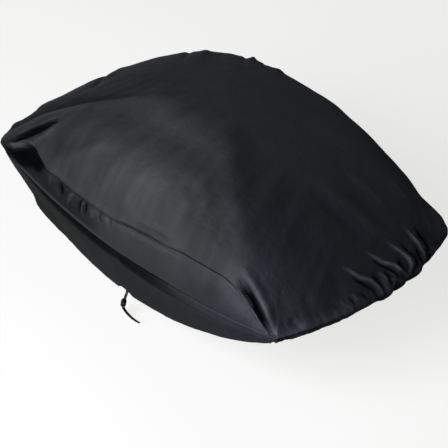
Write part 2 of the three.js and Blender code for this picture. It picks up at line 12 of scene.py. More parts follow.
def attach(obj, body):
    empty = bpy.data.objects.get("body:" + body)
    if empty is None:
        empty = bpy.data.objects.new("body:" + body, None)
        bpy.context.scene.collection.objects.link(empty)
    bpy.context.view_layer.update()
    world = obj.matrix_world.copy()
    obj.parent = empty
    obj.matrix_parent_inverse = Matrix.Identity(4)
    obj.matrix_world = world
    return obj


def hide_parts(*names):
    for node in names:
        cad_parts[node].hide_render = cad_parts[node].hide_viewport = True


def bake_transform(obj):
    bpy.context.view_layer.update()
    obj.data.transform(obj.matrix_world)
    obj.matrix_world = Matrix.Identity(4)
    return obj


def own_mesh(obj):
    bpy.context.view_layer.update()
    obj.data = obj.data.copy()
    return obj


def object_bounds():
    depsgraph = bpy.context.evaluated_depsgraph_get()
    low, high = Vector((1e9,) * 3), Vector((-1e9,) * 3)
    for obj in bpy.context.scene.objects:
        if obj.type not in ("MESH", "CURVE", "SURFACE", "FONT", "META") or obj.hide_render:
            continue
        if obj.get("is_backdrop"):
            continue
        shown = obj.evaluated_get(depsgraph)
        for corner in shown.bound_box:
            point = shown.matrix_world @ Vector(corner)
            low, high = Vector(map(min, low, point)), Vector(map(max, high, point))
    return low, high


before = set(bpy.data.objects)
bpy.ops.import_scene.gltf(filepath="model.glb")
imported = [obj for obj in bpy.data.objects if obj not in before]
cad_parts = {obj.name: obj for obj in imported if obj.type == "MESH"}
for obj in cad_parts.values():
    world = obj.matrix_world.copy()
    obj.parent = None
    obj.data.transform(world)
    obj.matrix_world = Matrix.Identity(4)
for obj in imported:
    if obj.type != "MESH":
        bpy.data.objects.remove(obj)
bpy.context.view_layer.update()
MM = 0.001

# ------------------------------------------------------------------ shape of the cover
# Heights are above the lowest point of the hem, which lies at HEM_Z.
HEM_Z = -0.263394
HALF_LENGTH, HALF_DEPTH = 0.345, 0.227
END_BOW, SIDE_BOW = 0.178, 0.28                 # how much the ends and the long sides bow out
CROWN = 0.2652
RIDGE_CORNER, RIDGE_LONG, RIDGE_END = 0.1082, 0.1022, 0.1062  # ridge round the dome's foot
HEM_CORNER, HEM_LONG, HEM_END = 0.0861, 0.0, 0.0648           # at corners and mid-sides
TUCK_CORNER, TUCK_LONG, TUCK_END = 0.016, 0.0303, 0.0326      # how far the hem is drawn in
POWER_X, ROOT_X, POWER_Y, ROOT_Y = 2.262, 1.05, 3.416, 1.89   # the dome's two profiles
REAR_SEAM_RISE = 0.042                          # seam above the ridge, mid-rear
OPENING_X, OPENING_HALF, OPENING_RISE = 0.009, 0.014, 0.009   # cord opening in the front hem
# front seam: place along the length (-1..1), and its rise above the ridge in mm
SEAM_AT = [-1.0, -0.90, -0.80, -0.72, -0.65, -0.58, -0.50, -0.44, -0.35, -0.20, 0.0,
           0.10, 0.25, 0.44, 0.56, 0.65, 0.71, 0.76, 0.82, 0.90, 0.97, 1.0]
SEAM_RISE = [0.0, 12.0, 28.0, 41.0, 45.0, 42.0, 37.0, 40.0, 40.0, 41.5, 43.5,
             48.5, 53.0, 55.0, 53.0, 50.0, 43.5, 35.5, 25.8, 12.7, 3.1, 0.0]


def ease(x, start, end):
    """0 at start, 1 at end, smooth between."""
    u = np.clip((np.asarray(x, float) - start) / (end - start), 0, 1)
    return u * u * (3 - 2 * u)


def band(x, start, full, fall, end):
    """Rises from start to full, then falls away from fall to end."""
    return ease(x, start, full) * (1 - ease(x, fall, end))


def bell(x, width):
    return np.exp(-(x / width) ** 2)


def unit(a):
    length = np.linalg.norm(a, axis=-1, keepdims=True)
    return a / np.where(length > 1e-12, length, 1)


def arc_length(path):
    return np.concatenate([[0], np.cumsum(np.linalg.norm(np.diff(path, axis=0), axis=1))])


def interp_rows(at, stations, rows):
    return np.stack([np.interp(at, stations, column) for column in rows.T], 1)


def ridge(s, t):
    return (RIDGE_CORNER + (RIDGE_LONG - RIDGE_CORNER) * (1 - s * s) * t * t
            + (RIDGE_END - RIDGE_CORNER) * (1 - t * t) * s * s)


def dome(s, t):
    """Points on the dome: s runs -1..1 along the length, t -1..1 from front to rear."""
    s, t = np.broadcast_arrays(np.asarray(s, float), np.asarray(t, float))
    x = HALF_LENGTH * s * np.sqrt(1 - END_BOW * t * t)
    y = HALF_DEPTH * t * np.sqrt(1 - SIDE_BOW * s * s)
    fullness = (np.clip(1 - np.abs(s) ** POWER_X, 0, 1) ** (1 / ROOT_X)
                * np.clip(1 - np.abs(t) ** POWER_Y, 0, 1) ** (1 / ROOT_Y))
    foot = ridge(s, t)
    return np.stack([x, y, foot + (CROWN - foot) * fullness + HEM_Z], -1)


def hem_height(u, middle):
    return HEM_CORNER + (middle - HEM_CORNER) * (1 - u * u)


def skirt(side, u, g):
    """Points on the skirt: u runs -1..1 along the side, g 0..1 from the ridge to the hem."""
    u, g = np.broadcast_arrays(np.asarray(u, float), np.asarray(g, float))
    is_long = side in ("front", "rear")
    sign = -1.0 if side in ("front", "left") else 1.0
    points = dome(u, sign) if is_long else dome(sign, u)
    hem_z = hem_height(u, HEM_LONG if is_long else HEM_END) + HEM_Z
    tuck = TUCK_CORNER + ((TUCK_LONG if is_long else TUCK_END) - TUCK_CORNER) * (1 - u * u)
    square_in = np.array([0.0, -sign]) if is_long else np.array([-sign, 0.0])
    to_centre = -unit(points[..., :2])
    cornerness = (np.abs(u) ** 4)[..., None]
    inward = square_in * (1 - cornerness) + to_centre * cornerness
    points[..., :2] += inward * (tuck * g ** 1.3)[..., None]
    points[..., 2] += (hem_z - points[..., 2]) * g
    return points


def seam_t(s, side=1):
    """The seam's t: even along the rear; the front one climbs to the right, then drops."""
    s = np.asarray(s, float)
    fullness_x = np.clip(1 - np.abs(s) ** POWER_X, 1e-9, 1) ** (1 / ROOT_X)
    if side > 0:
        rise = REAR_SEAM_RISE * (1 - np.abs(s) ** 4)
    else:
        rise = np.interp(s, SEAM_AT, SEAM_RISE) / 1000
    fullness = np.clip(rise / ((CROWN - ridge(s, 1.0)) * fullness_x), 0, 0.97)
    t = (1 - fullness ** ROOT_Y) ** (1 / POWER_Y)
    return np.where(np.abs(s) > 0.9999, 1.0, t)


def spaced(curve, spacing):
    """Parameters from -1 to 1 whose points on the curve lie spacing(point) apart."""
    p = np.linspace(-1, 1, 6001)
    c = curve(p)
    step = np.linalg.norm(np.diff(c, axis=0), axis=1)
    count = np.concatenate([[0], np.cumsum(step / spacing(0.5 * (c[1:] + c[:-1])))])
    return np.interp(np.linspace(0, count[-1], int(round(count[-1])) + 1), count, p)


# ------------------------------------------------------------------ one shared net
# parts of the net; the two tops lie between a seam and the ridge
DOME, FRONT, REAR, LEFT, RIGHT, FRONT_TOP, REAR_TOP = 0, 1, 2, 3, 4, 11, 12
ALL_PARTS = (DOME, FRONT, REAR, LEFT, RIGHT, FRONT_TOP, REAR_TOP)
TOP_ROWS = 17
CROSS_SPACING = 0.0029
ALONG = spaced(lambda p: dome(p, np.zeros_like(p)),
               lambda at: (0.0031 - 0.0010 * ease(at[:, 0], 0.20, 0.29)
                           - 0.0005 * ease(at[:, 0], -0.24, -0.30)))
mid_seam = float(seam_t(0.0))
ACROSS = spaced(lambda p: dome(np.zeros_like(p), p * mid_seam), lambda at: CROSS_SPACING)
DOWN = np.linspace(0, 1, 33)[1:] ** 1.2
net_parts = []


def add_points(points, kind, u=0, g=0):
    """Adds points to the net and returns their ids in the same layout."""
    first = sum(len(p[0]) for p in net_parts)
    flat = points.reshape(-1, 3)
    n = len(flat)
    net_parts.append((flat, *(np.broadcast_to(np.ravel(a), (n,)) for a in (kind, u, g))))
    return np.arange(first, first + n).reshape(points.shape[:-1])


def opening_lift(x):
    q = (x - OPENING_X) / OPENING_HALF
    return OPENING_RISE * np.sqrt(np.clip(1 - q * q, 0, 1))


def long_panel(side, sign, kind):
    """A long panel's ids: rows down from the seam, columns along the length."""
    seam_column = 0 if sign < 0 else -1
    step = np.arange(1, TOP_ROWS + 1) / TOP_ROWS
    at_seam = np.clip(1 - seam_t(ALONG, sign) ** POWER_Y, 0, 1) ** (1 / ROOT_Y)
    fullness = at_seam[None, :] * (1 - step[:, None])
    t = sign * np.clip(1 - fullness ** ROOT_Y, 0, 1) ** (1 / POWER_Y)
    top = add_points(dome(ALONG, t), kind + 10)
    # the crescent closes at the corners
    top[:, 0], top[:, -1] = dome_grid[0, seam_column], dome_grid[-1, seam_column]
    g, u = np.meshgrid(DOWN, ALONG, indexing="ij")
    points = skirt(side, u, g)
    if side == "front":
        drop = ridge(u, -1.0) - hem_height(u, HEM_LONG)
        points = skirt(side, u, g * (1 - opening_lift(points[..., 0]) / drop))
    low = add_points(points, kind, u, g)
    low[:, 0], low[:, -1] = left_grid[:, seam_column], right_grid[:, seam_column]
    return np.concatenate([dome_grid[:, seam_column][None], top, low], 0)


s_net, t_net = np.meshgrid(ALONG, ACROSS, indexing="ij")
t_net = np.where(t_net < 0, t_net * seam_t(ALONG, -1)[:, None], t_net * seam_t(ALONG)[:, None])
dome_grid = add_points(dome(s_net, t_net), DOME)
g_net, u_net = np.meshgrid(DOWN, ACROSS, indexing="ij")
left_grid = add_points(skirt("left", u_net, g_net), LEFT, u_net, g_net)
right_grid = add_points(skirt("right", u_net, g_net), RIGHT, u_net, g_net)
# rows along the length from hem to hem, columns across
centre_grid = np.concatenate([left_grid[::-1], dome_grid, right_grid], 0)
front_grid = long_panel("front", -1.0, FRONT)
rear_grid = long_panel("rear", 1.0, REAR)
verts, part, side_u, side_g = (np.concatenate(a) for a in zip(*net_parts))


def quads(grid, flip):
    a, b = grid[:-1, :-1].ravel(), grid[1:, :-1].ravel()
    c, d = grid[1:, 1:].ravel(), grid[:-1, 1:].ravel()
    return np.stack([a, d, c, b] if flip else [a, b, c, d], 1)


NET_QUADS = np.concatenate([quads(centre_grid, False), quads(front_grid, False),
                            quads(rear_grid, True)])


def net_normals(v):
    q = NET_QUADS
    face = np.cross(v[q[:, 2]] - v[q[:, 0]], v[q[:, 3]] - v[q[:, 1]])
    total = np.zeros_like(v)
    for k in range(4):
        for c in range(3):
            total[:, c] += np.bincount(q[:, k], face[:, c], len(v))
    length = np.linalg.norm(total, axis=1, keepdims=True)
    return total / np.where(length > 1e-15, length, 1)


edges = np.concatenate([NET_QUADS[:, [k, (k + 1) % 4]] for k in range(4)])
edges = np.unique(np.sort(edges[edges[:, 0] != edges[:, 1]], 1), axis=0)
is_hem = np.zeros(len(verts), bool)
is_hem[np.concatenate([centre_grid[0], centre_grid[-1], front_grid[-1], rear_grid[-1]])] = True
# a hem point only looks at its neighbours on the hem, so it slides along it
link_from = np.concatenate([edges[:, 0], edges[:, 1]])
link_to = np.concatenate([edges[:, 1], edges[:, 0]])
linked = ~(is_hem[link_from] & ~is_hem[link_to])
link_from, link_to = link_from[linked], link_to[linked]
degree = np.bincount(link_from, minlength=len(verts)).astype(float)[:, None]


def relax(v, weight, rounds):
    """Moves each point towards the middle of its neighbours."""
    pull = np.asarray(weight, float)[:, None] * (degree > 0)
    for _ in range(rounds):
        total = np.stack([np.bincount(link_from, v[link_to, c], len(v)) for c in range(3)], 1)
        v = v + pull * (total / np.where(degree > 0, degree, 1) - v)
    return v


# ------------------------------------------------------------------ the ridge round the rim
rim = np.concatenate([
    dome(np.linspace(-1, 1, 260), -1.0), dome(1.0, np.linspace(-1, 1, 180)),
    dome(np.linspace(1, -1, 260), 1.0), dome(-1.0, np.linspace(1, -1, 180))])


def nearest(v, targets, chunk=6000):
    """Distance to the nearest target, and which one it is."""
    distance = np.empty(len(v))
    which = np.empty(len(v), int)
    for i in range(0, len(v), chunk):
        d = ((v[i:i + chunk, None, :] - targets[None]) ** 2).sum(-1)
        which[i:i + chunk] = d.argmin(1)
        distance[i:i + chunk] = np.sqrt(d.min(1))
    return distance, which


rim_away, rim_id = nearest(verts, rim)
rim_along = arc_length(rim)[rim_id]

# the ridge rounds over softly at the ends and the rear, only slightly along the front
long_front = ease(np.abs(verts[:, 0]), 0.30, 0.20) * (verts[:, 1] < 0)
softness = 0.5 * bell(rim_away, 0.010) * (1 - 0.88 * long_front)
verts = relax(verts, np.where(is_hem, 0.0, softness), rounds=14)
# corners drawn in to a round: s, t, reach, rounds
for s, t, reach, rounds in ((1, 1, 0.030, 150), (-1, -1, 0.022, 190),
                            (1, -1, 0.010, 8), (-1, 1, 0.026, 90)):
    away = np.linalg.norm((verts - dome(s, t)) * np.array([1, 1, 0.6]), axis=1)
    verts = relax(verts, 0.5 * bell(away, reach), rounds)
norms = net_normals(verts)

# ------------------------------------------------------------------ folds
# Each row: height mm, width mm, share of the height at the start and at the end, points in mm,
# then, where the fold also carries painted shade (above 0) or a painted highlight (below 0),
# (shade, width mm[, parts it shows on]).
LEFT_CORNER_PARTS = (DOME, LEFT)
RIGHT_CORNER_PARTS = (DOME, RIGHT)
FRONT_PARTS = (FRONT, FRONT_TOP)
LEFT_WEDGE = [(-289, -190, -145), (-270, -187, -132), (-249, -179, -113),
              (-227, -172, -95), (-210, -163, -79), (-190, -155, -64)]
RIGHT_WEDGE = [(233, -184, -108), (246, -185, -117), (263, -186, -128),
               (281, -189, -140), (303, -192, -153)]
PILLOW = [(-280, -195, -146), (-253, -196, -133), (-228, -195, -118)]
FOLDS = [
    # front left corner: wedge, ridges above and below it, hollow, pillow
    (-6, 4.5, 0.5, 0, LEFT_WEDGE, (1.20, 7.4, LEFT_CORNER_PARTS)),
    (3, 6, 0.6, 0, [(-308, -180, -150), (-283, -168, -128), (-250, -154, -98),
                    (-211, -145, -70), (-168, -133, -43), (-126, -114, -22)],
     (-0.45, 2.6, LEFT_CORNER_PARTS)),
    (3.2, 4.5, 0.3, 0, [(-273, -192, -139), (-242, -193, -123), (-219, -193, -112),
                        (-202, -184, -92), (-187, -166, -70), (-177, -151, -55)],
     (-0.20, 3.0, (DOME,))),
    (-6, 8, 0.3, 0.2, [(-272, -201, -151), (-244, -203, -140), (-209, -206, -129),
                       (-180, -210, -124)], (1.05, 12.5, FRONT_PARTS)),
    (2, 4, 0, 0, PILLOW, (-1.0, 6.0, FRONT_PARTS)),
    # along the ridge, right of the middle: hollow and puff
    (-0.8, 3, 0, 0, [(18, -220, -111), (38, -218, -109), (58, -217, -106), (81, -214, -102),
                     (100, -212, -101), (123, -210, -103), (143, -209, -106)], (0.12, 2.6)),
    (1.5, 5, 0, 0, [(24, -216, -101), (54, -213, -96), (82, -210, -92), (106, -207, -92),
                    (130, -206, -96)]),
    # front right corner: wedge, inner and outer ridge, dimple
    (-5, 4, 0.15, 0.5, RIGHT_WEDGE, (1.15, 5.8, RIGHT_CORNER_PARTS)),
    (3, 3, 0.1, 0.5, [(219, -193, -112), (236, -192, -119), (257, -191, -129),
                      (278, -192, -141), (298, -193, -152)], (-0.55, 2.6)),
    (5, 7, 0, 0.5, [(217, -173, -90), (237, -175, -102), (257, -175, -115), (276, -178, -129),
                    (304, -185, -150)], (-0.45, 5.0, RIGHT_CORNER_PARTS)),
    (-2.5, 5, 0, 0.2, [(304, -159, -139), (315, -155, -147), (325, -152, -155)]),
    # short upright pleats on the front, left of the middle
    (-5.5, 7, 0.3, 0.1, [(-130, -217, -126), (-121, -220, -135), (-117, -222, -144)],
     (0.45, 6.5)),
    (2.2, 4, 0.3, 0.1, [(-92, -219, -121), (-96, -222, -135), (-101, -223, -149)],
     (-0.60, 3.0)),
    (-5.5, 2.4, 0.2, 0.1, [(-71, -221, -123), (-73, -223, -137), (-75, -225, -152)],
     (0.65, 2.2)),
    (1.4, 2.2, 0.2, 0.1, [(-68, -220, -120), (-66, -223, -132), (-66, -225, -145)],
     (-0.35, 2.0)),
    (-5.5, 2.4, 0.2, 0.1, [(-59, -221, -122), (-59, -223, -132), (-59, -225, -146)],
     (0.65, 2.2)),
    (2, 5.5, 0.2, 0.1, [(-45, -222, -122), (-42, -224, -132), (-39, -226, -143)],
     (-0.35, 4.2)),
    (-3, 2.6, 0.2, 0.1, [(-31, -221, -117), (-27, -223, -126), (-22, -225, -138)],
     (0.45, 2.4)),
    (-3.2, 3.2, 0.2, 0.1, [(-9, -222, -118), (-4, -223, -126), (0, -225, -134)],
     (0.40, 2.6)),
    (1, 5, 0.2, 0.1, [(-156, -213, -123), (-149, -217, -134), (-147, -218, -142)],
     (-0.25, 3.5)),
    # crests and valleys gathered at the right end
    (3.8, 2.5, 0, 0.5, [(296, 2, -107), (306, 11, -116), (316, 23, -127), (325, 40, -136),
                        (333, 48, -145), (341, 55, -155)], (-2.6, 2.3)),
    (-5, 3.4, 0, 0.5, [(306, 5, -116), (323, 26, -133), (331, 37, -142), (338, 41, -150),
                       (343, 46, -156)], (0.55, 2.8)),
    (-5, 4.2, 0.2, 0.3, [(322, 52, -134), (328, 55, -141), (335, 58, -149)], (0.6, 3.4)),
    (3.8, 2.4, 0.1, 0.4, [(300, 49, -113), (309, 57, -122), (318, 66, -132), (325, 70, -139),
                          (332, 71, -146), (340, 62, -155)], (-2.6, 2.3)),
    (-6, 3.4, 0.1, 0.5, [(306, 72, -120), (321, 81, -136), (327, 85, -143), (335, 82, -151),
                         (340, 72, -156)], (0.6, 2.8)),
    (3.2, 2.2, 0.1, 0.3, [(294, 96, -113), (310, 105, -129), (316, 109, -136),
                          (321, 114, -142)], (-2.3, 2.2)),
    (-5, 2.6, 0.1, 0.4, [(319, 99, -137), (326, 99, -144), (332, 96, -150)], (0.5, 2.2)),
    (3.6, 2.1, 0.1, 0.4, [(302, 97, -120), (311, 103, -130), (320, 107, -139),
                          (327, 109, -147), (334, 104, -154)], (-2.5, 2.3)),
    (-8, 4.5, 0.3, 0.4, [(300, 118, -123), (315, 127, -139), (323, 126, -147),
                         (331, 117, -154)], (0.6, 3.8)),
    (3.4, 2.5, 0, 0.5, [(295, -50, -108), (306, -39, -117), (317, -29, -127), (327, -12, -137),
                        (337, -4, -147), (345, -2, -157)], (-2.3, 2.2)),
    (-4, 3.4, 0, 0.5, [(312, -40, -123), (327, -25, -137), (335, -16, -145),
                       (342, -11, -153)], (0.5, 2.8)),
    (-4, 3.4, 0, 0.5, [(321, -7, -131), (331, 1, -141), (339, 4, -150)], (0.45, 2.8)),
    (2.2, 2.1, 0, 0.5, [(321, 4, -131), (331, 12, -141), (338, 12, -148)], (-1.0, 1.6)),
    (2.2, 2.1, 0, 0.5, [(326, 24, -136), (333, 30, -144), (342, 31, -154)], (-1.0, 1.6)),
    (-3.5, 2.8, 0, 0.5, [(324, 17, -134), (333, 22, -143), (340, 19, -151)], (0.4, 2.4)),
    (2.5, 2.4, 0, 0.5, [(332, 20, -142), (339, 27, -150), (343, 18, -155)], (-1.0, 1.6)),
    (2.6, 2.8, 0, 0.5, [(325, -57, -137), (334, -49, -146), (341, -39, -154)], (-0.8, 1.6)),
    (-2.6, 2.6, 0, 0.5, [(328, -61, -141), (337, -54, -150)], (0.3, 2.2)),
    (-3, 2.8, 0, 0.5, [(330, -41, -141), (337, -33, -149), (343, -28, -156)], (0.3, 2.4)),
    (1.8, 3, 0, 0.5, [(324, -78, -139), (334, -70, -148), (340, -63, -155)], (-0.7, 1.6)),
    (-1.8, 3, 0, 0.5, [(323, -89, -139), (333, -83, -149), (339, -81, -156)]),
    (-1.4, 3.4, 0, 0.5, [(319, -118, -141), (330, -115, -152), (333, -117, -156)]),
    # long streaks, valleys and a dent down the right slope
    (2.4, 11, 0, 0.2, [(165, -7, -27), (208, 3, -46), (245, 20, -68), (282, 37, -96),
                       (314, 63, -127)], (-0.20, 8)),
    (2.4, 9, 0, 0, [(190, 53, -38), (221, 61, -55), (253, 79, -78), (281, 92, -101)],
     (-0.20, 7)),
    (2, 9, 0, 0, [(224, 121, -68), (252, 133, -89), (275, 145, -111)], (-0.15, 7)),
    (-2.2, 11, 0, 0, [(207, -28, -46), (242, -10, -67), (273, 3, -89), (300, 14, -111)],
     (0.14, 9)),
    (-2.2, 9, 0, 0, [(223, 30, -55), (256, 48, -77), (287, 63, -102), (306, 80, -121)],
     (0.14, 8)),
    (-2, 8, 0, 0, [(302, -78, -117), (314, -59, -127), (325, -37, -136)]),
    # faint ridges and hollows up the front slope
    (1.4, 10, 0, 0, [(-135, -207, -101), (-106, -193, -68), (-79, -179, -47),
                     (-46, -159, -27)], (-0.12, 9)),
    (-1.4, 12, 0, 0, [(-187, -204, -114), (-159, -197, -91), (-129, -185, -64),
                      (-117, -175, -52)], (0.14, 14)),
    (0.8, 8, 0.1, 0, [(-36, -220, -113), (-35, -208, -82), (-36, -190, -54),
                      (-39, -171, -35)]),
    (-0.7, 8, 0.1, 0, [(-61, -214, -99), (-62, -203, -76), (-64, -190, -57)]),
    (0.7, 9, 0.1, 0, [(11, -218, -105), (16, -203, -73), (20, -186, -49), (16, -165, -30)],
     (-0.06, 8)),
    (-0.7, 8, 0.1, 0, [(19, -210, -86), (20, -197, -62), (17, -181, -43)]),
    (0.8, 10, 0.1, 0, [(89, -207, -88), (80, -191, -60), (67, -175, -42), (51, -154, -25)]),
    (-0.9, 11, 0.1, 0, [(132, -197, -82), (121, -181, -59), (107, -165, -41),
                        (84, -149, -26)], (0.10, 10)),
    (0.9, 10, 0.1, 0, [(164, -191, -83), (151, -176, -63), (134, -161, -45),
                       (109, -147, -30), (72, -128, -15)]),
    # wide folds from the crown: a hollow, then the ridges to the front right and front left
    (-0.9, 18, 0, 0, [(140, -115, -27), (112, -83, -13), (88, -49, -5), (65, -12, -2)],
     (0.16, 20)),
    (3.6, 20, 0, 0.2, [(25, -24, 1), (78, -65, -5), (121, -99, -18), (158, -128, -37),
                       (192, -148, -61), (224, -161, -85), (260, -171, -114)]),
    (4.5, 20, 0, 0, [(-198, -137, -59), (-150, -118, -32), (-101, -92, -11), (-63, -66, -3),
                     (-26, -38, 1)]),
]
# the same columns; these are laid out in plan and carry on outwards over the rim
PLAN_FOLDS = [
    # round the left and the rear of the dome
    (2, 8, 0, 0, [(-200.5, -66.6, -40), (-210.5, -52.6, -44), (-223.5, -36.6, -51)]),
    (0.5, 12, 0, 0, [(-172, 0, -29), (-183, 14, -34), (-194, 28, -39)]),
    (0.4, 8, 0, 0, [(-158, 34, -24), (-168, 48, -28), (-173, 57, -31)]),
    (-3, 4, 0, 0, [(-137, 38, -17), (-149, 53, -22), (-160, 67, -26)]),
    (2.6, 8, 0, 0, [(-115, 61, -12), (-132, 81, -18), (-151, 102, -28)]),
    (1.2, 10, 0, 0, [(-81, 81, -6), (-97, 101, -12), (-121, 130, -26)]),
    (-2.5, 4, 0, 0, [(-56, 88, -4), (-69, 108, -9), (-87, 129, -18)]),
    (4.5, 4.5, 0, 0, [(-50, 98, -5), (-65, 119, -11), (-81, 140, -21)]),
    (-1.5, 4, 0, 0, [(-31, 103, -4), (-42, 120, -9), (-59, 145, -20)]),
    (3.5, 9, 0, 0, [(-11, 112, -6), (-28, 137, -14), (-34, 149, -20)]),
    (-1, 6, 0, 0, [(-193, -97, -45), (-205, -84, -49), (-213, -72, -52)]),
    (-5, 4.5, 0, 0, [(-199.5, -93.6, -41), (-211.5, -78.6, -46), (-223.5, -64.6, -52)]),
    (3.5, 16, 0, 0, [(-228, -147, -80), (-251, -134, -89), (-275, -119, -102)]),
    (3.5, 12, 0, 0, [(-266, -178, -123), (-283, -168, -128), (-299, -160, -136)]),
    (0.3, 12, 0, 0, [(12, 112, -6), (4, 134, -13), (-2, 150, -20)]),
    (0.3, 14, 0, 0, [(45, 108, -10), (36, 130, -16), (30, 150, -22)]),
    # rear right, then the right end's rim
    (3.5, 25, 0, 0, [(232, 163, -91), (225, 177, -98), (224, 177, -97)]),
    (0.8, 10, 0, 0, [(272, 167, -120), (265, 183, -126), (266, 183, -127)]),
    (1.5, 20, 0, 0, [(91, 96, -10), (86, 119, -14), (79, 147, -24)]),
    (0.8, 12, 1, 1, [(262, 176, -128), (266, 196, -140)]),
    (5.5, 13, 1, 1, [(329, 80, -148), (340, 82, -157)]),
    (4.5, 8, 1, 1, [(334, 43, -148), (343, 44, -157)]),
    (4.6, 8, 1, 1, [(334, 13, -148), (345, 14, -157)]),
    (0.6, 8, 1, 1, [(334, -22, -148), (345, -21, -157)]),
]
OUTWARD_RUN = 0.16                              # how far a plan fold carries on


def near_line(v, line, reach):
    """For points near a polyline: ids, distance, share along it, offset from it, tangent."""
    share = arc_length(line)
    share = share / share[-1]
    inside = (v > line.min(0) - reach) & (v < line.max(0) + reach)
    ids = np.where(inside.all(-1))[0]
    q = v[ids]
    distance, at = np.full(len(q), 1e9), np.zeros(len(q))
    offset, tangent = np.zeros((len(q), 3)), np.zeros((len(q), 3))
    for a, b, share_a, share_b in zip(line[:-1], line[1:], share[:-1], share[1:]):
        ab = b - a
        k = np.clip(((q - a) @ ab) / (ab @ ab), 0, 1)
        d = q - (a + k[:, None] * ab)
        away = np.linalg.norm(d, axis=1)
        m = away < distance
        distance[m], at[m] = away[m], (share_a + k * (share_b - share_a))[m]
        offset[m], tangent[m] = d[m], ab / np.linalg.norm(ab)
    return ids, distance, at, offset, tangent


def end_shares(at, start, end, ramp):
    return ((start + (1 - start) * ease(at, 0, ramp))
            * (end + (1 - end) * ease(1 - at, 0, ramp)))


def fold_field(height, width, start, end, points, plan=False):
    """The height one fold adds at every point of the net; width and points in mm."""
    line, v = np.array(points) / 1000, verts
    width = width * MM
    if plan:
        v, line = v * np.array([1, 1, 0]), line * np.array([1, 1, 0])
        line = np.concatenate([line, [line[-1] + unit(line[-1] - line[0]) * OUTWARD_RUN]])
    ids, distance, at, _, _ = near_line(v, line, 4 * width)
    field = np.zeros(len(v))
    field[ids] = height * end_shares(at, start, end, 0.35) * bell(distance, width)
    return field


# ------------------------------------------------------------------ smooth noise
def lattice_noise(p, seed=0):
    """Gradient noise in 3-D, about -1..1, for an array of points."""
    p = np.asarray(p, float)
    cell = np.floor(p).astype(np.int64)
    f = p - cell
    w = f * f * f * (f * (f * 6 - 15) + 10)
    total = np.zeros(len(p))
    for corner in itertools.product((0, 1), repeat=3):
        i, j, k = (cell + np.array(corner)).T
        h = (i * 73856093) ^ (j * 19349663) ^ (k * 83492791) ^ (seed * 2654435)
        h = (h ^ (h >> 13)) * 1274126177
        h = h ^ (h >> 16)
        turn = (h & 0xFFFF) / 65536.0 * 2 * np.pi
        up = ((h >> 16) & 0xFFFF) / 32768.0 - 1
        flat = np.sqrt(1 - up * up)
        d = f - np.array(corner)
        slope = flat * np.cos(turn) * d[:, 0] + flat * np.sin(turn) * d[:, 1] + up * d[:, 2]
        total += np.where(corner, w, 1 - w).prod(1) * slope
    return total * 1.6


def layered_noise(p, seed, octaves):
    total, gain = 0, 1.0
    for octave in range(octaves):
        total = total + gain * lattice_noise(p, seed + 17 * octave)
        gain *= 0.5
        p = p * 2.03
    return total


def columns(a, b, c):
    return np.stack(np.broadcast_arrays(a, b, c), 1)


# ------------------------------------------------------------------ how the cloth lies
x, y = verts.T[:2]
x_share = x / HALF_LENGTH
on_top = (part == DOME) | (part > 10)
rim_down = rim_away * np.where(on_top, 1, -1)
frontness, rearness = ease(y, 0.05, -0.12), ease(y, 0.02, 0.16)
rightness, leftness = ease(x, 0.12, 0.30), ease(x, -0.12, -0.30)


def rim_noise(spacing, run, layer, seed):
    """Noise with lines that run down to the rim: spacing round it, run across it."""
    return lattice_noise(columns(rim_along / spacing, rim_down / run, layer), seed)


def patch(x0, y0, reach_x, reach_y):
    return np.exp(-(((x - x0) / reach_x) ** 2 + ((y - y0) / reach_y) ** 2))


lift = np.zeros(len(verts))                     # mm along the surface normal
# broad hollows and swells where the cloth isn't held
lift += (1.5 * layered_noise(verts / 0.11, seed=3, octaves=2)
         * (0.35 + 0.65 * (1 - frontness)) * ease(rim_away, 0.0, 0.05))
lift += (0.55 * layered_noise(verts / 0.042, seed=5, octaves=2)
         * (0.45 + 0.55 * np.maximum(rightness, rearness)))
# drag lines, coarse and fine, weaker along the front
hold = 0.30 + 0.9 * np.maximum.reduce([rightness, leftness * 0.9, rearness * 0.8])
hold *= 1 - 0.72 * long_front
lift += (2.1 * rim_noise(spacing=0.024, run=0.16, layer=0.0, seed=21)
         * np.exp(-rim_away / 0.05) * hold * ease(rim_away + 0.004, 0.0, 0.012))
lift += (0.9 * rim_noise(spacing=0.0105, run=0.075, layer=4.0, seed=22)
         * np.exp(-rim_away / 0.028) * hold)

# gathers at the hem: part, half length m, share down the skirt where they start and are full,
# pitch m, height mm, seed
for kind, half, start, full, pitch, height, seed in (
        (LEFT, 0.21, 0.05, 0.9, 0.0125, 2.0, 31), (RIGHT, 0.21, 0.05, 0.9, 0.0115, 2.4, 32),
        (REAR, 0.33, 0.15, 1.0, 0.017, 1.7, 33), (FRONT, 0.33, 0.45, 1.0, 0.030, 0.75, 34)):
    here = part == kind
    along, down = side_u[here] * half, side_g[here]
    # sharp crests with round hollows, on slower swells
    crests = lattice_noise(columns(along / pitch, down * 1.6, seed * 3.1), seed)
    swells = lattice_noise(columns(along / (pitch * 2.7), down * 0.9, seed * 1.7), seed + 5)
    crests = np.clip(1 - np.abs(crests) * 2.2, -1, 1)
    lift[here] += height * (0.55 * crests + 0.75 * swells) * ease(down, start, full) ** 1.4

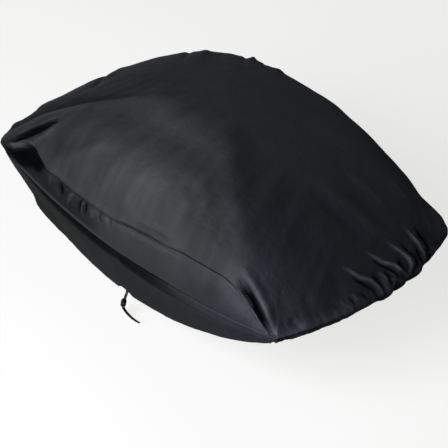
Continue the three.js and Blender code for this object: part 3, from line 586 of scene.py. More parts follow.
# the strip below the front ridge: the skirt rolls under it, then comes out again
front_ids = np.where(part == FRONT)[0]
front_s, down = side_u[front_ids], side_g[front_ids]
strip = np.interp(front_s, [-1, -0.75, 0.0, 0.45, 0.9, 1], [0.13, 0.18, 0.21, 0.26, 0.50, 0.6])
left_part = 1 - ease(front_s, -0.02, 0.34)
strip_ends = ease(front_s, -1.0, -0.86) * (1 - 0.6 * ease(front_s, 0.86, 1.0))
left_roll = (-4.0 * ease(down / strip, 0.0, 0.62)
             * (1 - 0.62 * ease(down / strip, 0.75, 2.2)) * (1 - ease(down, 0.35, 1.0)))
right_roll = (-2.4 * bell(down - 0.03, 0.022)
              - 3.4 * ease(down - strip, -0.03, 0.03) * (1 - ease(down, 0.5, 1.0)))
lift[front_ids] += strip_ends * (
    left_part * left_roll + (1 - left_part) * right_roll
    - 0.8 * bell(down - strip, 0.028) + 1.2 * bell(down - strip - 0.075, 0.05))
# the hem steps out a little on the front's left
lift[front_ids] += 4.2 * ease(down, 0.55, 1.0) * band(front_s, -0.72, -0.67, -0.64, -0.36)

for fold in FOLDS:
    lift += fold_field(*fold[:5])
for fold in PLAN_FOLDS:
    lift += fold_field(*fold, plan=True)
# flats and swells on the dome: x, y, reach in x and y, height mm
for *place, height in ((-0.01, -0.122, 0.11, 0.034, -6.5), (-0.02, -0.055, 0.10, 0.03, 2.0),
                       (-0.075, 0.135, 0.050, 0.030, 4.0), (-0.232, 0.136, 0.022, 0.022, -2.5),
                       (0.284, 0.197, 0.016, 0.016, 6.0)):
    lift += height * patch(*place)
lift = np.clip(lift, -14, 9)

# ------------------------------------------------------------------ painted light and shade, with a little random mottling
# Below 0 is a painted highlight, lighter; above 0 is painted shade, darker, and 1 would be
# black.
shade = np.zeros(len(verts))
# painted shade: dark bands by the left corner that raise no cloth, in the columns of FOLDS
PAINTED_SHADE_BANDS = [
    (0, 0, 0.5, 0.0, [(-268, -190, -137), (-250, -187, -122), (-232, -182, -107),
                      (-215, -174, -92), (-200, -163, -75)], (1.00, 6.0, (DOME,))),
    (0, 0, 0.9, 0.1, [(-300, -196, -160), (-275, -203, -156), (-245, -208, -150),
                      (-212, -211, -140)], (1.00, 9.5, FRONT_PARTS)),
]
for _, _, start, end, points, *mark in FOLDS + PAINTED_SHADE_BANDS:
    if mark:
        share, width, parts = (*mark[0], ALL_PARTS)[:3]
        shade += fold_field(share, width, start, end, points) * np.isin(part, parts)
# painted highlight: a light line along the front ridge, strongest on the left
front_ridge_highlight_area = (y < -0.1) * np.isin(part, (DOME, *FRONT_PARTS))
shade -= (0.50 * bell(rim_away, 0.0026) * front_ridge_highlight_area * band(x_share, -0.95, -0.84, 0.90, 0.97)
          * (1 - 0.55 * ease(x_share, -0.1, 0.34)))
# painted shade in the roll under it and along its two edges to the right, and a painted
# highlight on the strip between them
roll = band(down, 0.0, 0.04, strip, 1.7 * strip) * strip_ends
shade[front_ids] += (1 - 0.8 * ease(np.abs(front_s), 0.93, 1.0)) * (
    0.80 * roll * (1 - ease(front_s, 0.05, 0.50))
    + 0.30 * roll * band(front_s, 0.05, 0.30, 0.30, 0.62)
    + 0.50 * bell(down - 0.030, 0.016) * ease(front_s, 0.05, 0.40)
    + 0.45 * bell(down - strip, 0.024) * ease(front_s, 0.25, 0.50)
    - 0.25 * band(down, 0.05, 0.10, 0.7 * strip, 0.95 * strip) * ease(front_s, 0.35, 0.60))
# painted shade on the puckered part of the front panel, left of the middle
shade += (0.52 * (part == FRONT_TOP) * band(x_share, -0.74, -0.62, -0.20, 0.02)
          * ease(rim_away, 0.0015, 0.006))
# painted shadow lines along the front seam: row of the dome above it, share, where along x
SHORT_RUN, LONG_RUN = (0.006, 0.030, 0.060, 0.150), (-0.19, -0.15, 0.15, 0.20)
for row, share, run in ((0, 0.75, SHORT_RUN), (1, 0.80, SHORT_RUN), (2, 0.40, SHORT_RUN),
                        (0, 0.30, LONG_RUN), (1, 0.30, LONG_RUN)):
    ids = dome_grid[:, row]
    shade[ids] += share * band(x[ids], *run)
# behind the fold up from the left corner the cloth is in shadow, more so round the rim
CORNER_FOLD = [(-308, -180), (-283, -168), (-250, -154), (-211, -145), (-168, -133),
               (-126, -114), (-63, -66), (-26, -38), (30, -10)]      # x, y in mm
behind = y - np.interp(x, *(np.array(CORNER_FOLD).T / 1000))
shade += ((0.22 + 0.38 * bell(behind, 0.035)) * ease(behind, 0.001, 0.010)
          * (1 - ease(x, -0.15, -0.03)) * on_top)
shade += 0.30 * bell(rim_away, 0.030) * ease(y, -0.16, -0.08) * (1 - ease(x, -0.06, 0.0))
# painted shade on the right slope, and a painted highlight on its lower edge towards the front
# corner
shade += 0.12 * ease(x, 0.10, 0.20) * ease(y, -0.15, -0.09) * (1 - 0.4 * ease(y, 0.10, 0.17))
shade -= (1.05 * bell(rim_away, 0.012) * (part == DOME) * ease(x, 0.29, 0.31)
          * (1 - ease(y, -0.14, 0.0)))
shade -= (0.15 * bell(rim_away, 0.040) * (part == DOME) * ease(x, 0.24, 0.30)
          * (1 - ease(y, -0.12, 0.02)))
# painted shade on the right rim, with fine painted highlights on the crests where it is
# gathered
crest = 1 - 2.6 * np.abs(rim_noise(spacing=0.0075, run=0.05, layer=7.0, seed=41))
shade += 0.42 * bell(rim_away, 0.022) * ease(x, 0.27, 0.30) * band(y, -0.06, 0.0, 0.14, 0.17)
shade -= (0.75 * np.clip(crest, -0.5, 1) * bell(rim_away, 0.016) * ease(x, 0.29, 0.31)
          * band(y, -0.12, -0.06, 0.13, 0.16))
# painted light and shade in slow patches over the front slope and the crown: x, y, reach in x
# and y, share
for *place, share in (
        (-0.008, -0.100, 0.11, 0.030, -0.34), (0.022, -0.166, 0.08, 0.030, -0.20),
        (0.138, -0.191, 0.045, 0.022, 0.28), (0.188, -0.171, 0.030, 0.020, 0.17),
        (-0.119, -0.197, 0.050, 0.018, 0.10), (-0.165, -0.185, 0.035, 0.022, 0.14),
        (0.152, -0.090, 0.05, 0.05, 0.24), (0.285, -0.145, 0.030, 0.030, 0.12),
        (0.060, 0.070, 0.10, 0.07, 0.10), (0.240, 0.010, 0.09, 0.08, 0.07),
        (-0.100, -0.180, 0.035, 0.035, -0.06)):
    shade += share * patch(*place) * on_top
# painted light and shade in round spots: centre, reach, share
for *centre, reach, share in (
        (0.230, -0.113, -0.069, 0.045, 0.25), (0.131, -0.183, -0.063, 0.040, 0.10),
        (0.204, -0.208, -0.131, 0.018, 0.22), (0.128, -0.220, -0.144, 0.022, -0.20),
        (0.274, -0.173, -0.124, 0.014, -0.35), (-0.162, -0.135, -0.041, 0.030, 0.12),
        (-0.062, -0.211, -0.092, 0.022, -0.12), (0.077, -0.191, -0.061, 0.030, 0.08),
        (-0.186, -0.209, -0.130, 0.011, 0.50), (-0.100, -0.185, -0.057, 0.020, 0.10),
        (-0.018, -0.138, -0.015, 0.035, -0.16)):
    shade += share * np.exp(-((verts - centre) ** 2).sum(1) / reach ** 2)
# painted light and shade in faint drag lines fanning down the front slope, and random mottling
# of tone everywhere
fan = x / (1.0 - 1.6 * np.clip(y + 0.06, -0.2, 0.1))
shade -= (0.16 * layered_noise(columns(fan / 0.016, y / 0.13, 2.0), seed=43, octaves=2)
          * on_top * ease(y, 0.02, -0.06) * ease(rim_away, 0.02, 0.05))
shade -= 0.06 * layered_noise(verts / 0.035, seed=44, octaves=3)
shade = np.clip(shade, -2.7, 0.93)

# ------------------------------------------------------------------ folds that lean over
verts = verts + norms * (lift * MM)[:, None]
norms = net_normals(verts)


def lap_over(line, up, crest, valley, lean, start, end, ramp=0.3):
    """Leans a fold over itself along line; crest and valley are (place, width, height) across
    it in mm, measured towards up; lean is how far the crest tips over the valley, in mm."""
    ids, distance, at, offset, tangent = near_line(verts, line, 0.03)
    normal = norms[ids]
    across = np.cross(normal, tangent)
    across /= np.linalg.norm(across, axis=1, keepdims=True) + 1e-12
    across *= np.where(across @ np.asarray(up, float) < 0, -1, 1)[:, None]
    side = (offset * across).sum(1)
    # beyond the ends, or off the sheet, the fold fades
    past = np.sqrt(np.clip(distance ** 2 - side ** 2, 0, None))
    share = end_shares(at, start, end, ramp) * bell(past, 0.006)
    on_crest = share * bell(side / MM - crest[0], crest[1])
    on_valley = share * bell(side / MM - valley[0], valley[1])
    raised = crest[2] * on_crest + valley[2] * on_valley
    verts[ids] += normal * (MM * raised)[:, None] - across * (MM * lean * on_crest)[:, None]


lap_over(np.array(LEFT_WEDGE) / 1000, up=(0, 0, 1), crest=(8.5, 5.0, 2.0),
         valley=(-2.0, 6.5, -8.0), lean=1.5, start=0.12, end=0.0)
lap_over(np.array(PILLOW) / 1000, up=(0, 0, 1), crest=(0.0, 5.0, 3.0),
         valley=(-9.5, 7.5, -8.0), lean=1.5, start=0.2, end=0.2)
lap_over(np.array(RIGHT_WEDGE) / 1000, up=(1, 0, 0), crest=(6.5, 4.0, 0.8),
         valley=(0.6, 4.0, -2.0), lean=0.3, start=0.1, end=0.1)
front_seam = verts[dome_grid[:, 0]]
front_seam = front_seam[(front_seam[:, 0] > -0.215) & (front_seam[:, 0] < 0.16)][::4]
lap_over(front_seam, up=(0, 0, 1), crest=(4.5, 4.5, 1.9), valley=(-3.0, 3.2, -2.6),
         lean=2.6, start=0.0, end=0.0, ramp=0.12)
# the left half of the front ridge droops over the strip below it
verts[:, 2] -= (0.0010 * bell(rim_away, 0.0045) * (verts[:, 1] < -0.1)
                * band(verts[:, 0] / HALF_LENGTH, -1.0, -0.84, -0.02, 0.34))
verts = relax(verts, np.full(len(verts), 0.22), rounds=1)
norms = net_normals(verts)

# ------------------------------------------------------------------ materials
BLACK, WHITE = (0, 0, 0), (1, 1, 1)


class Graph:
    """A node tree emptied for building, with short ways to add nodes."""

    def __init__(self, owner):
        owner.use_nodes = True
        self.owner, self.tree = owner, owner.node_tree
        self.tree.nodes.clear()

    def node(self, kind, **settings):
        node = self.tree.nodes.new("ShaderNode" + kind)
        for key, value in settings.items():
            setattr(node, key, value)
        return node

    def feed(self, node, inputs):
        """Links or sets inputs, given as {socket: source or plain value}."""
        for key, source in inputs.items():
            if isinstance(source, bpy.types.NodeSocket):
                self.tree.links.new(source, node.inputs[key])
            else:
                node.inputs[key].default_value = source
        return node

    def math(self, operation, *values):
        node = self.node("Math", operation=operation)
        return self.feed(node, dict(enumerate(values))).outputs[0]

    def add(self, a, b):
        return self.math("ADD", a, b)

    def mul(self, a, b):
        return self.math("MULTIPLY", a, b)

    def blend(self, *weighted):
        """The sum of (source, weight) pairs."""
        total = self.mul(*weighted[0])
        for pair in weighted[1:]:
            total = self.add(total, self.mul(*pair))
        return total

    def uv(self):
        return self.node("UVMap", uv_map="UVMap").outputs[0]

    def place(self):
        return self.node("TexCoord").outputs["Object"]

    def pointiness(self):
        return self.node("NewGeometry").outputs["Pointiness"]

    def axes(self, vector):
        return self.feed(self.node("SeparateXYZ"), {0: vector}).outputs

    def noise(self, vector, scale, detail, roughness):
        return self.feed(self.node("TexNoise"), {
            "Scale": scale, "Detail": detail, "Roughness": roughness,
            "Vector": vector}).outputs[0]

    def mapped(self, vector, scale, rotation=(0, 0, 0)):
        return self.feed(self.node("Mapping"), {
            "Scale": scale, "Rotation": rotation, "Vector": vector}).outputs[0]

    def ramp(self, source, start, end):
        """A colour ramp between two (position, rgb) stops."""
        node = self.node("ValToRGB")
        for i, (position, colour) in enumerate((start, end)):
            stop = node.color_ramp.elements[i]
            stop.position, stop.color = position, (*colour, 1)
        return self.feed(node, {0: source}).outputs[0]

    def mix(self, factor, a, b, blend_type="MIX"):
        node = self.node("Mix", data_type="RGBA", blend_type=blend_type)
        return self.feed(node, {"Factor": factor, 6: a, 7: b}).outputs[2]

    def bump(self, height, distance, strength, base=None):
        node = self.feed(self.node("Bump"), {
            "Strength": strength, "Distance": distance, "Height": height})
        if base is not None:
            self.feed(node, {"Normal": base})
        return node.outputs[0]

    def surface(self, inputs):
        """Ends the graph in one Principled surface and returns its material."""
        shader = self.feed(self.node("BsdfPrincipled"), inputs)
        self.feed(self.node("OutputMaterial"), {0: shader.outputs[0]})
        return self.owner


def material_graph(name):
    return Graph(bpy.data.materials.new(name))


def weave_height(g, uv, pitch):
    """Plain weave from two crossing sets of threads, in metric UVs."""
    along, across = (g.mul(axis, 2 * math.pi / pitch) for axis in g.axes(uv)[:2])
    threads = g.mul(*(g.math("ABSOLUTE", g.math("SINE", a)) for a in (along, across)))
    over_under = g.mul(*(g.math("SINE", g.mul(a, 0.5)) for a in (along, across)))
    return g.blend((threads, 0.7), (over_under, 0.35))


def coated_cloth(name, tone, light_tone, roughness, crinkle):
    g = material_graph(name)
    uv, place = g.uv(), g.place()
    big = g.noise(place, scale=5.0, detail=3.0, roughness=0.55)
    mid = g.noise(place, scale=26.0, detail=3.0, roughness=0.6)
    tiny = g.noise(place, scale=420.0, detail=2.0, roughness=0.6)
    # slow change of tone, lighter where the coating is rubbed along folds and edges
    colour = g.ramp(g.blend((big, 0.55), (mid, 0.30), (tiny, 0.18)),
                    (0.36, tone), (0.72, light_tone))
    rubbed = g.ramp(g.pointiness(), (0.50, BLACK), (0.60, WHITE))
    r, green, b = light_tone
    colour = g.mix(g.mul(rubbed, 0.35), colour, (r * 1.7, green * 1.7, b * 1.75, 1))
    # painted shade: darker and less glossy low down on the long sides, less so to the right
    x_at, y_at, z_at = g.axes(place)
    low = g.mul(
        g.ramp(g.mul(z_at, -4.0), (0.63, BLACK), (0.74, WHITE)),
        g.ramp(g.math("ABSOLUTE", g.mul(y_at, 4.0)), (0.60, BLACK), (0.70, WHITE)))
    low = g.mul(low, g.ramp(g.add(x_at, 0.5), (0.35, WHITE), (0.74, (0.3, 0.3, 0.3))))
    r, green, b = tone
    colour = g.mix(low, colour, (r * 0.62, green * 0.72, b * 0.54, 1))
    # painted cool light: bluer towards the right end
    painted_cool_light = g.ramp(g.add(x_at, 0.5), (0.60, BLACK), (0.74, WHITE))
    colour = g.mix(painted_cool_light, colour, (0.90, 0.97, 1.24, 1), "MULTIPLY")
    # painted shade in creases and painted highlights on crests, carried by the net's shade
    # attribute; they scale the colour and the gloss
    kept = g.math("SUBTRACT", 1.0, g.node("Attribute", attribute_name="shade").outputs["Fac"])
    shaded = g.feed(g.node("VectorMath", operation="SCALE"), {0: colour, "Scale": kept})
    # relief: soft crumples, the crinkle of a coated cloth, the weave, the grain
    crumples = g.noise(g.mapped(uv, (1.0, 0.75, 1.0)), scale=34.0, detail=2.0, roughness=0.5)
    creases = g.noise(g.mapped(uv, (1.0, 1.35, 1.0), (0, 0, 0.5)),
                      scale=95.0, detail=2.0, roughness=0.55)
    relief = g.bump(crumples, distance=0.0036 * crinkle, strength=0.6)
    relief = g.bump(creases, distance=0.0009 * crinkle, strength=0.55, base=relief)
    weave = weave_height(g, uv, pitch=0.0011)
    relief = g.bump(weave, distance=0.00009, strength=0.45, base=relief)
    return g.surface({
        "Base Color": shaded.outputs[0],
        "Specular IOR Level": g.mul(kept, g.math("SUBTRACT", 0.5, g.mul(low, 0.27))),
        "Roughness": g.add(g.add(g.mul(mid, 0.10), roughness - 0.06), g.mul(tiny, 0.05)),
        "Sheen Weight": g.mul(kept, 0.05), "Sheen Roughness": 0.45,
        "Coat Weight": g.mul(kept, 0.05), "Coat Roughness": 0.34,
        "Normal": g.bump(tiny, distance=0.00010, strength=0.35, base=relief)})


def seam_tape():
    g = material_graph("seam_tape")
    ribs, rows = (g.math("ABSOLUTE", g.math("SINE", g.mul(axis, 2 * math.pi / pitch)))
                  for axis, pitch in zip(g.axes(g.uv())[:2], (0.0018, 0.0011)))
    weave = g.blend((ribs, 0.7), (rows, 0.3))
    mottle = g.noise(g.place(), scale=140.0, detail=3.0, roughness=0.6)
    return g.surface({
        "Base Color": g.ramp(g.blend((weave, 0.5), (mottle, 0.5)),
                             (0.2, (0.006, 0.006, 0.007)), (0.85, (0.022, 0.022, 0.025))),
        "Roughness": g.add(g.mul(mottle, 0.2), 0.62), "Sheen Weight": 0.2,
        "Normal": g.bump(mottle, distance=0.0002, strength=0.4,
                         base=g.bump(weave, distance=0.0002, strength=0.7))})


def cord_material(name, brightness):
    g = material_graph(name)
    fibres = g.noise(g.mapped(g.uv(), (1, 5, 1)), scale=1500.0, detail=2.0, roughness=0.6)
    slow = g.noise(g.place(), scale=60.0, detail=2.0, roughness=0.5)
    raised = g.ramp(g.pointiness(), (0.44, BLACK), (0.56, WHITE))
    dark, light = (tuple(c * brightness for c in colour)
                   for colour in ((0.008, 0.008, 0.009), (0.045, 0.045, 0.048)))
    return g.surface({
        "Base Color": g.ramp(g.blend((raised, 0.5), (fibres, 0.35), (slow, 0.2)),
                             (0.25, dark), (0.8, light)),
        "Roughness": g.add(g.mul(fibres, 0.25), 0.55),
        "Sheen Weight": 0.3 * brightness ** 2, "Specular IOR Level": 0.5 * brightness,
        "Normal": g.bump(fibres, distance=0.00012, strength=0.6)})


def moulded_plastic():
    g = material_graph("moulded_plastic")
    tone = (0.018, 0.018, 0.02)
    place = g.place()
    grain = g.noise(place, scale=2600.0, detail=2.0, roughness=0.6)
    slow = g.noise(place, scale=190.0, detail=2.0, roughness=0.5)
    worn = g.ramp(g.pointiness(), (0.5, BLACK), (0.62, WHITE))
    return g.surface({
        "Base Color": g.ramp(g.blend((slow, 0.5), (worn, 0.35)),
                             (0.2, [c * 0.75 for c in tone]), (0.8, [c * 2.0 for c in tone])),
        "Roughness": g.add(g.mul(slow, 0.15), 0.34),
        "Normal": g.bump(grain, distance=0.00004, strength=0.5)})


def spring_wire():
    g = material_graph("spring_wire")
    grain = g.noise(g.place(), scale=900.0, detail=3.0, roughness=0.6)
    return g.surface({
        "Base Color": g.ramp(grain, (0.3, (0.35, 0.35, 0.36)), (0.75, (0.62, 0.62, 0.63))),
        "Metallic": 1.0, "Roughness": g.add(g.mul(grain, 0.25), 0.2),
        "Normal": g.bump(grain, distance=0.00003, strength=0.4)})


def label_weave():
    g = material_graph("label_weave")
    weave = weave_height(g, g.uv(), pitch=0.0006)
    mottle = g.noise(g.place(), scale=80.0, detail=3.0, roughness=0.6)
    return g.surface({
        "Base Color": g.ramp(g.blend((weave, 0.35), (mottle, 0.6)),
                             (0.15, (0.50, 0.50, 0.48)), (0.8, (0.76, 0.76, 0.74))),
        "Roughness": g.add(g.mul(mottle, 0.15), 0.6), "Sheen Weight": 0.2,
        "Normal": g.bump(mottle, distance=0.0006, strength=0.5,
                         base=g.bump(weave, distance=0.00008, strength=0.6))})


CLOTH = coated_cloth("coated_cloth", tone=(0.0120, 0.0127, 0.0156),
                     light_tone=(0.0203, 0.0211, 0.0242), roughness=0.68, crinkle=1.0)
CASING = coated_cloth("coated_cloth_turned_in", tone=(0.010, 0.0103, 0.0115),
                      light_tone=(0.017, 0.0175, 0.0185), roughness=0.74, crinkle=0.7)
TAPE = seam_tape()
CORD = cord_material("braided_cord", brightness=0.16)
THREAD = cord_material("sewing_thread", brightness=0.45)
PLASTIC = moulded_plastic()
STEEL = spring_wire()
LABEL = label_weave()


# ------------------------------------------------------------------ mesh helpers
def make_mesh(name, points, faces, uvs, material, smooth=True):
    """faces index points; uvs has one (u, v) per point."""
    mesh = bpy.data.meshes.new(name)
    mesh.from_pydata([tuple(p) for p in points], [], faces)
    layer = mesh.uv_layers.new(name="UVMap")
    ids = np.zeros(len(mesh.loops), np.int64)
    mesh.loops.foreach_get("vertex_index", ids)
    layer.data.foreach_set("uv", np.asarray(uvs, np.float32)[ids].ravel())
    mesh.materials.append(material)
    if smooth:
        mesh.polygons.foreach_set("use_smooth", np.ones(len(mesh.polygons), bool))
    mesh.validate()
    mesh.update()
    ob = bpy.data.objects.new(name, mesh)
    bpy.context.scene.collection.objects.link(ob)
    return ob


def metric_uv(grid_points):
    """UVs in metres: mean spacing down the rows, widest spacing along the columns."""
    down = np.linalg.norm(np.diff(grid_points, axis=0), axis=2).mean(1)
    along = np.linalg.norm(np.diff(grid_points, axis=1), axis=2).max(0)
    a, b = (np.concatenate([[0], np.cumsum(d)]) for d in (down, along))
    return np.stack(np.meshgrid(a, b, indexing="ij"), -1)


def grid_object(name, grid_points, material, flip):
    """A sheet; a face that closes to nothing is dropped, one closed side makes a triangle."""
    rows, cols = grid_points.shape[:2]
    points = grid_points.reshape(-1, 3)
    q = quads(np.arange(rows * cols).reshape(rows, cols), flip)
    corners = points[q]
    kept = ~(np.linalg.norm(corners - np.roll(corners, 1, axis=1), axis=2) < 2e-6)
    faces = [tuple(face[k].tolist()) for face, k in zip(q, kept) if k.sum() >= 3]
    return make_mesh(name, points, faces, metric_uv(grid_points).reshape(-1, 2), material)


def thicken(ob, thickness, offset=-1.0):
    solid = ob.modifiers.new("thickness", "SOLIDIFY")
    solid.thickness = thickness
    solid.offset = offset
    solid.use_even_offset = False


def register(ob, node=None, ride="root"):
    """Tells the frame what carries the object, which piece it replaces."""
    if ride:
        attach(ob, ride)
    if node:
        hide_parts(node)


def tube(path, radius, sides, relief=None, caps=True):
    """Points, faces and UVs of a tube along path; radius is a number or one per point."""
    path = np.asarray(path, float)
    n = len(path)
    radius = np.broadcast_to(np.asarray(radius, float), (n,))
    tangent = unit(np.gradient(path, axis=0))
    up = np.array([0, 0, 1.0]) if abs(tangent[0][2]) < 0.9 else np.array([0, 1.0, 0])
    ups, sideways = np.zeros((n, 3)), np.zeros((n, 3))
    for i in range(n):
        up = up - tangent[i] * (up @ tangent[i])
        up /= np.linalg.norm(up)
        ups[i], sideways[i] = up, np.cross(tangent[i], up)
    arc = arc_length(path)
    angle = np.arange(sides) / sides * 2 * np.pi
    r = radius[:, None] * np.ones(sides)
    if relief is not None:
        r = r * (1 + relief(arc[:, None], angle[None, :]))
    points = path[:, None] + r[..., None] * (np.cos(angle)[None, :, None] * ups[:, None]
                                             + np.sin(angle)[None, :, None] * sideways[:, None])
    points = points.reshape(-1, 3)
    uvs = np.stack(np.broadcast_arrays(arc[:, None], angle[None] * 0.001), -1).reshape(-1, 2)
    ring = np.arange(n * sides).reshape(n, sides)
    following = np.roll(ring, -1, 1)
    faces = np.stack([ring[:-1], following[:-1], following[1:], ring[1:]], -1)
    faces = [tuple(f) for f in faces.reshape(-1, 4).tolist()]
    if caps:
        first, last = len(points), len(points) + 1
        points = np.concatenate([points, [path[0] - tangent[0] * radius[0] * 0.45,
                                          path[-1] + tangent[-1] * radius[-1] * 0.45]])
        uvs = np.concatenate([uvs, [[0, 0], [arc[-1], 0]]])
        for k in range(sides):
            faces.append((first, int(following[0, k]), int(ring[0, k])))
            faces.append((last, int(ring[-1, k]), int(following[-1, k])))
    return points, faces, uvs


class Pile:
    """Many small meshes gathered into one object."""

    def __init__(self):
        self.points, self.faces, self.uvs, self.count = [], [], [], 0

    def add(self, points, faces, uvs):
        self.points.append(points)
        self.uvs.append(uvs)
        self.faces += [tuple(i + self.count for i in face) for face in faces]
        self.count += len(points)

    def object(self, name, material):
        return make_mesh(name, np.concatenate(self.points), self.faces,
                         np.concatenate(self.uvs), material)


def resample(path, step):
    arc = arc_length(path)
    n = max(2, int(round(arc[-1] / step)) + 1)
    return interp_rows(np.linspace(0, arc[-1], n), arc, path)


def stitches(pile, line, normals, length=0.0031, gap=0.0013, r=0.00026, lift=0.00012):
    """Thread lying on the cloth along line; each stitch dips in at both ends."""
    both = np.concatenate([line, normals], 1)
    arc = arc_length(line)
    height = np.array([-1.4, 0.55, 1.0, 0.55, -1.4]) * r + lift
    radius = r * np.array([0.75, 1, 1.05, 1, 0.75])
    start = 0.0
    while start + length < arc[-1]:
        at = start + np.array([0, 0.14, 0.5, 0.86, 1]) * length
        p = interp_rows(at, arc, both)
        pile.add(*tube(p[:, :3] + unit(p[:, 3:]) * height[:, None], radius, 5, caps=False))
        start += length + gap


# ------------------------------------------------------------------ the three panels
# turned edges: (distance, depth below the surface), back from the seam or out past the hem
SEAM_STEPS = [(0.0017, 0.00008), (0.0009, 0.00035), (0.00042, 0.00095), (0.00028, 0.0017),
              (0.00028, 0.0044), (0.00028, 0.0078)]
HEM_STEPS = [(-0.0006, 0.0001), (0.0002, 0.00055), (0.00045, 0.0014), (0.0001, 0.0023),
             (-0.0012, 0.0027), (-0.0034, 0.0027)]


def turn_edge(cloth, hem):
    """Turns in the first row of cloth, whose last axis is position, normal, shade. A hem adds
    rows beyond the edge; a seam's rows take the place of the edge."""
    edge, inner = cloth[0], cloth[1]
    points, normal = edge[:, :3], edge[:, 3:6]
    outward = points - inner[:, :3]
    room = 0.55 * np.linalg.norm(outward, axis=1, keepdims=True)
    outward = unit(outward)
    if hem:
        turned = [points + outward * out - normal * depth for out, depth in HEM_STEPS]
        tone, kept = edge[:, 6:], cloth
    else:
        turned = [points - outward * np.minimum(back, room * (back / SEAM_STEPS[0][0]))
                  - normal * depth for back, depth in SEAM_STEPS]
        tone, kept = inner[:, 6:], cloth[1:]
    rows = [np.concatenate([p, normal, tone], 1) for p in turned[::-1]]
    return np.concatenate([np.stack(rows), kept])


def panel(node, grid, flip, seam_first):
    """Both sides are seams and the last row is a hem; the first row is either."""
    cloth = np.concatenate([verts[grid], norms[grid], shade[grid][..., None]], -1)
    if not seam_first:
        cloth = turn_edge(cloth, hem=True)
    cloth = turn_edge(cloth[::-1], hem=True)[::-1]
    turned = turn_edge(cloth.swapaxes(0, 1), hem=False)
    cloth = turn_edge(turned[::-1], hem=False)[::-1].swapaxes(0, 1)
    if seam_first:
        cloth = turn_edge(cloth, hem=False)
    ob = grid_object(node + "_cloth", cloth[..., :3], CLOTH, flip)
    # the painted shade and highlights go with the cloth as its shade attribute
    tones = ob.data.attributes.new("shade", "FLOAT", "POINT")
    tones.data.foreach_set("value", cloth[..., 6].ravel().astype(np.float32))
    thicken(ob, 0.0009)
    register(ob, node)


panel("centre_panel", centre_grid, flip=False, seam_first=False)
panel("front_panel", front_grid, flip=False, seam_first=True)
panel("rear_panel", rear_grid, flip=True, seam_first=True)


# ------------------------------------------------------------------ hem casings and stitching
def above_hem(grid, heights):
    """Points and normals on the cloth at heights above the hem; grid rows run up from it."""
    p, normal = verts[grid], norms[grid]
    points = np.zeros((len(heights), grid.shape[1], 3))
    normals = np.zeros_like(points)
    for j in range(grid.shape[1]):
        arc = arc_length(p[:, j])
        points[:, j] = interp_rows(heights, arc, p[:, j])
        normals[:, j] = interp_rows(heights, arc, normal[:, j])
    # the hem keeps its waviness, but its normals are steadied along it
    for _ in range(3):
        normals[:, 1:-1] = (normals[:, :-2] + 2 * normals[:, 1:-1] + normals[:, 2:]) / 4
    return points, unit(normals)


front_up, rear_up = front_grid[::-1], rear_grid[::-1]
left_up, right_up = centre_grid[:len(DOWN) + 1], centre_grid[::-1][:len(DOWN) + 1]
CASING_GAP = 0.0145                             # casing end to the middle of the opening
LONG_END, SHORT_END = 0.288, 0.1725             # where the casings stop short of the corners
# name, grid up from the hem, axis it runs along, its two ends, flipped
HEM_RUNS = [
    ("hem_channel_front_left", front_up, 0, -LONG_END, OPENING_X - CASING_GAP, True),
    ("hem_channel_front_right", front_up, 0, OPENING_X + CASING_GAP, LONG_END, True),
    ("hem_channel_rear", rear_up, 0, -LONG_END, LONG_END, False),
    ("hem_channel_left_end", left_up, 1, -SHORT_END, SHORT_END, False),
    ("hem_channel_right_end", right_up, 1, -SHORT_END, SHORT_END, True),
]
# the casing's section: height above the hem and depth inside the cloth
CASING_HEIGHT = np.array([0.7, 0.5, 1.0, 2.2, 4.2, 6.6, 9.0, 11.5, 13.6, 15.2, 16.3, 17.2]) * MM
CASING_DEPTH = np.array([2.0, 3.2, 4.9, 6.4, 7.2, 6.7, 5.3, 3.6, 2.3, 1.6, 1.35, 1.35]) * MM
CORD_HEIGHT, CORD_DEPTH = 0.0036, 0.0043
STITCH_HEIGHT, CLOTH_DEPTH = 0.0152, 0.0023     # stitch row, and its copy inside

cord_runs = {}
thread = Pile()
for name, grid, axis, low_end, high_end, flip in HEM_RUNS:
    at = verts[grid[0], axis]
    grid = grid[:, (at > low_end) & (at < high_end)]
    points, normals = above_hem(grid, CASING_HEIGHT)
    arc = arc_length(points[4])
    # the name's length picks the layer of noise
    puff = 1 + 0.16 * lattice_noise(columns(arc / 0.011, 0.0, len(name)), seed=51)
    inside = points - normals * (CASING_DEPTH[:, None] * puff[None])[..., None]
    ob = grid_object(name + "_cloth", inside, CASING, flip)
    thicken(ob, 0.0007, 0.0)
    register(ob, name)
    points, normals = above_hem(grid, np.array([CORD_HEIGHT]))
    cord_runs[name] = (points - normals * CORD_DEPTH)[0]
    points, normals = above_hem(grid, np.array([STITCH_HEIGHT]))
    stitches(thread, points[0], normals[0])
    stitches(thread, points[0] - normals[0] * CLOTH_DEPTH, -normals[0])
register(thread.object("hem_stitching", THREAD))

# ------------------------------------------------------------------ bound seams inside
# the tape's section in mm: across the seam allowance, depth inside the cloth
TAPE_SECTION = [(-1.55, 3.0), (-1.7, 4.4), (-1.75, 6.2), (-1.6, 8.0), (-1.0, 9.1), (0, 9.5),
                (1.0, 9.1), (1.6, 8.0), (1.75, 6.2), (1.7, 4.4), (1.55, 3.0)]
TAPE_END, TAPE_DEPTH = 0.2955, 9.5              # end in x (m), deepest point (mm)


def steadied(a):
    return (a[:-2] + 2 * a[1:-1] + a[2:]) / 4


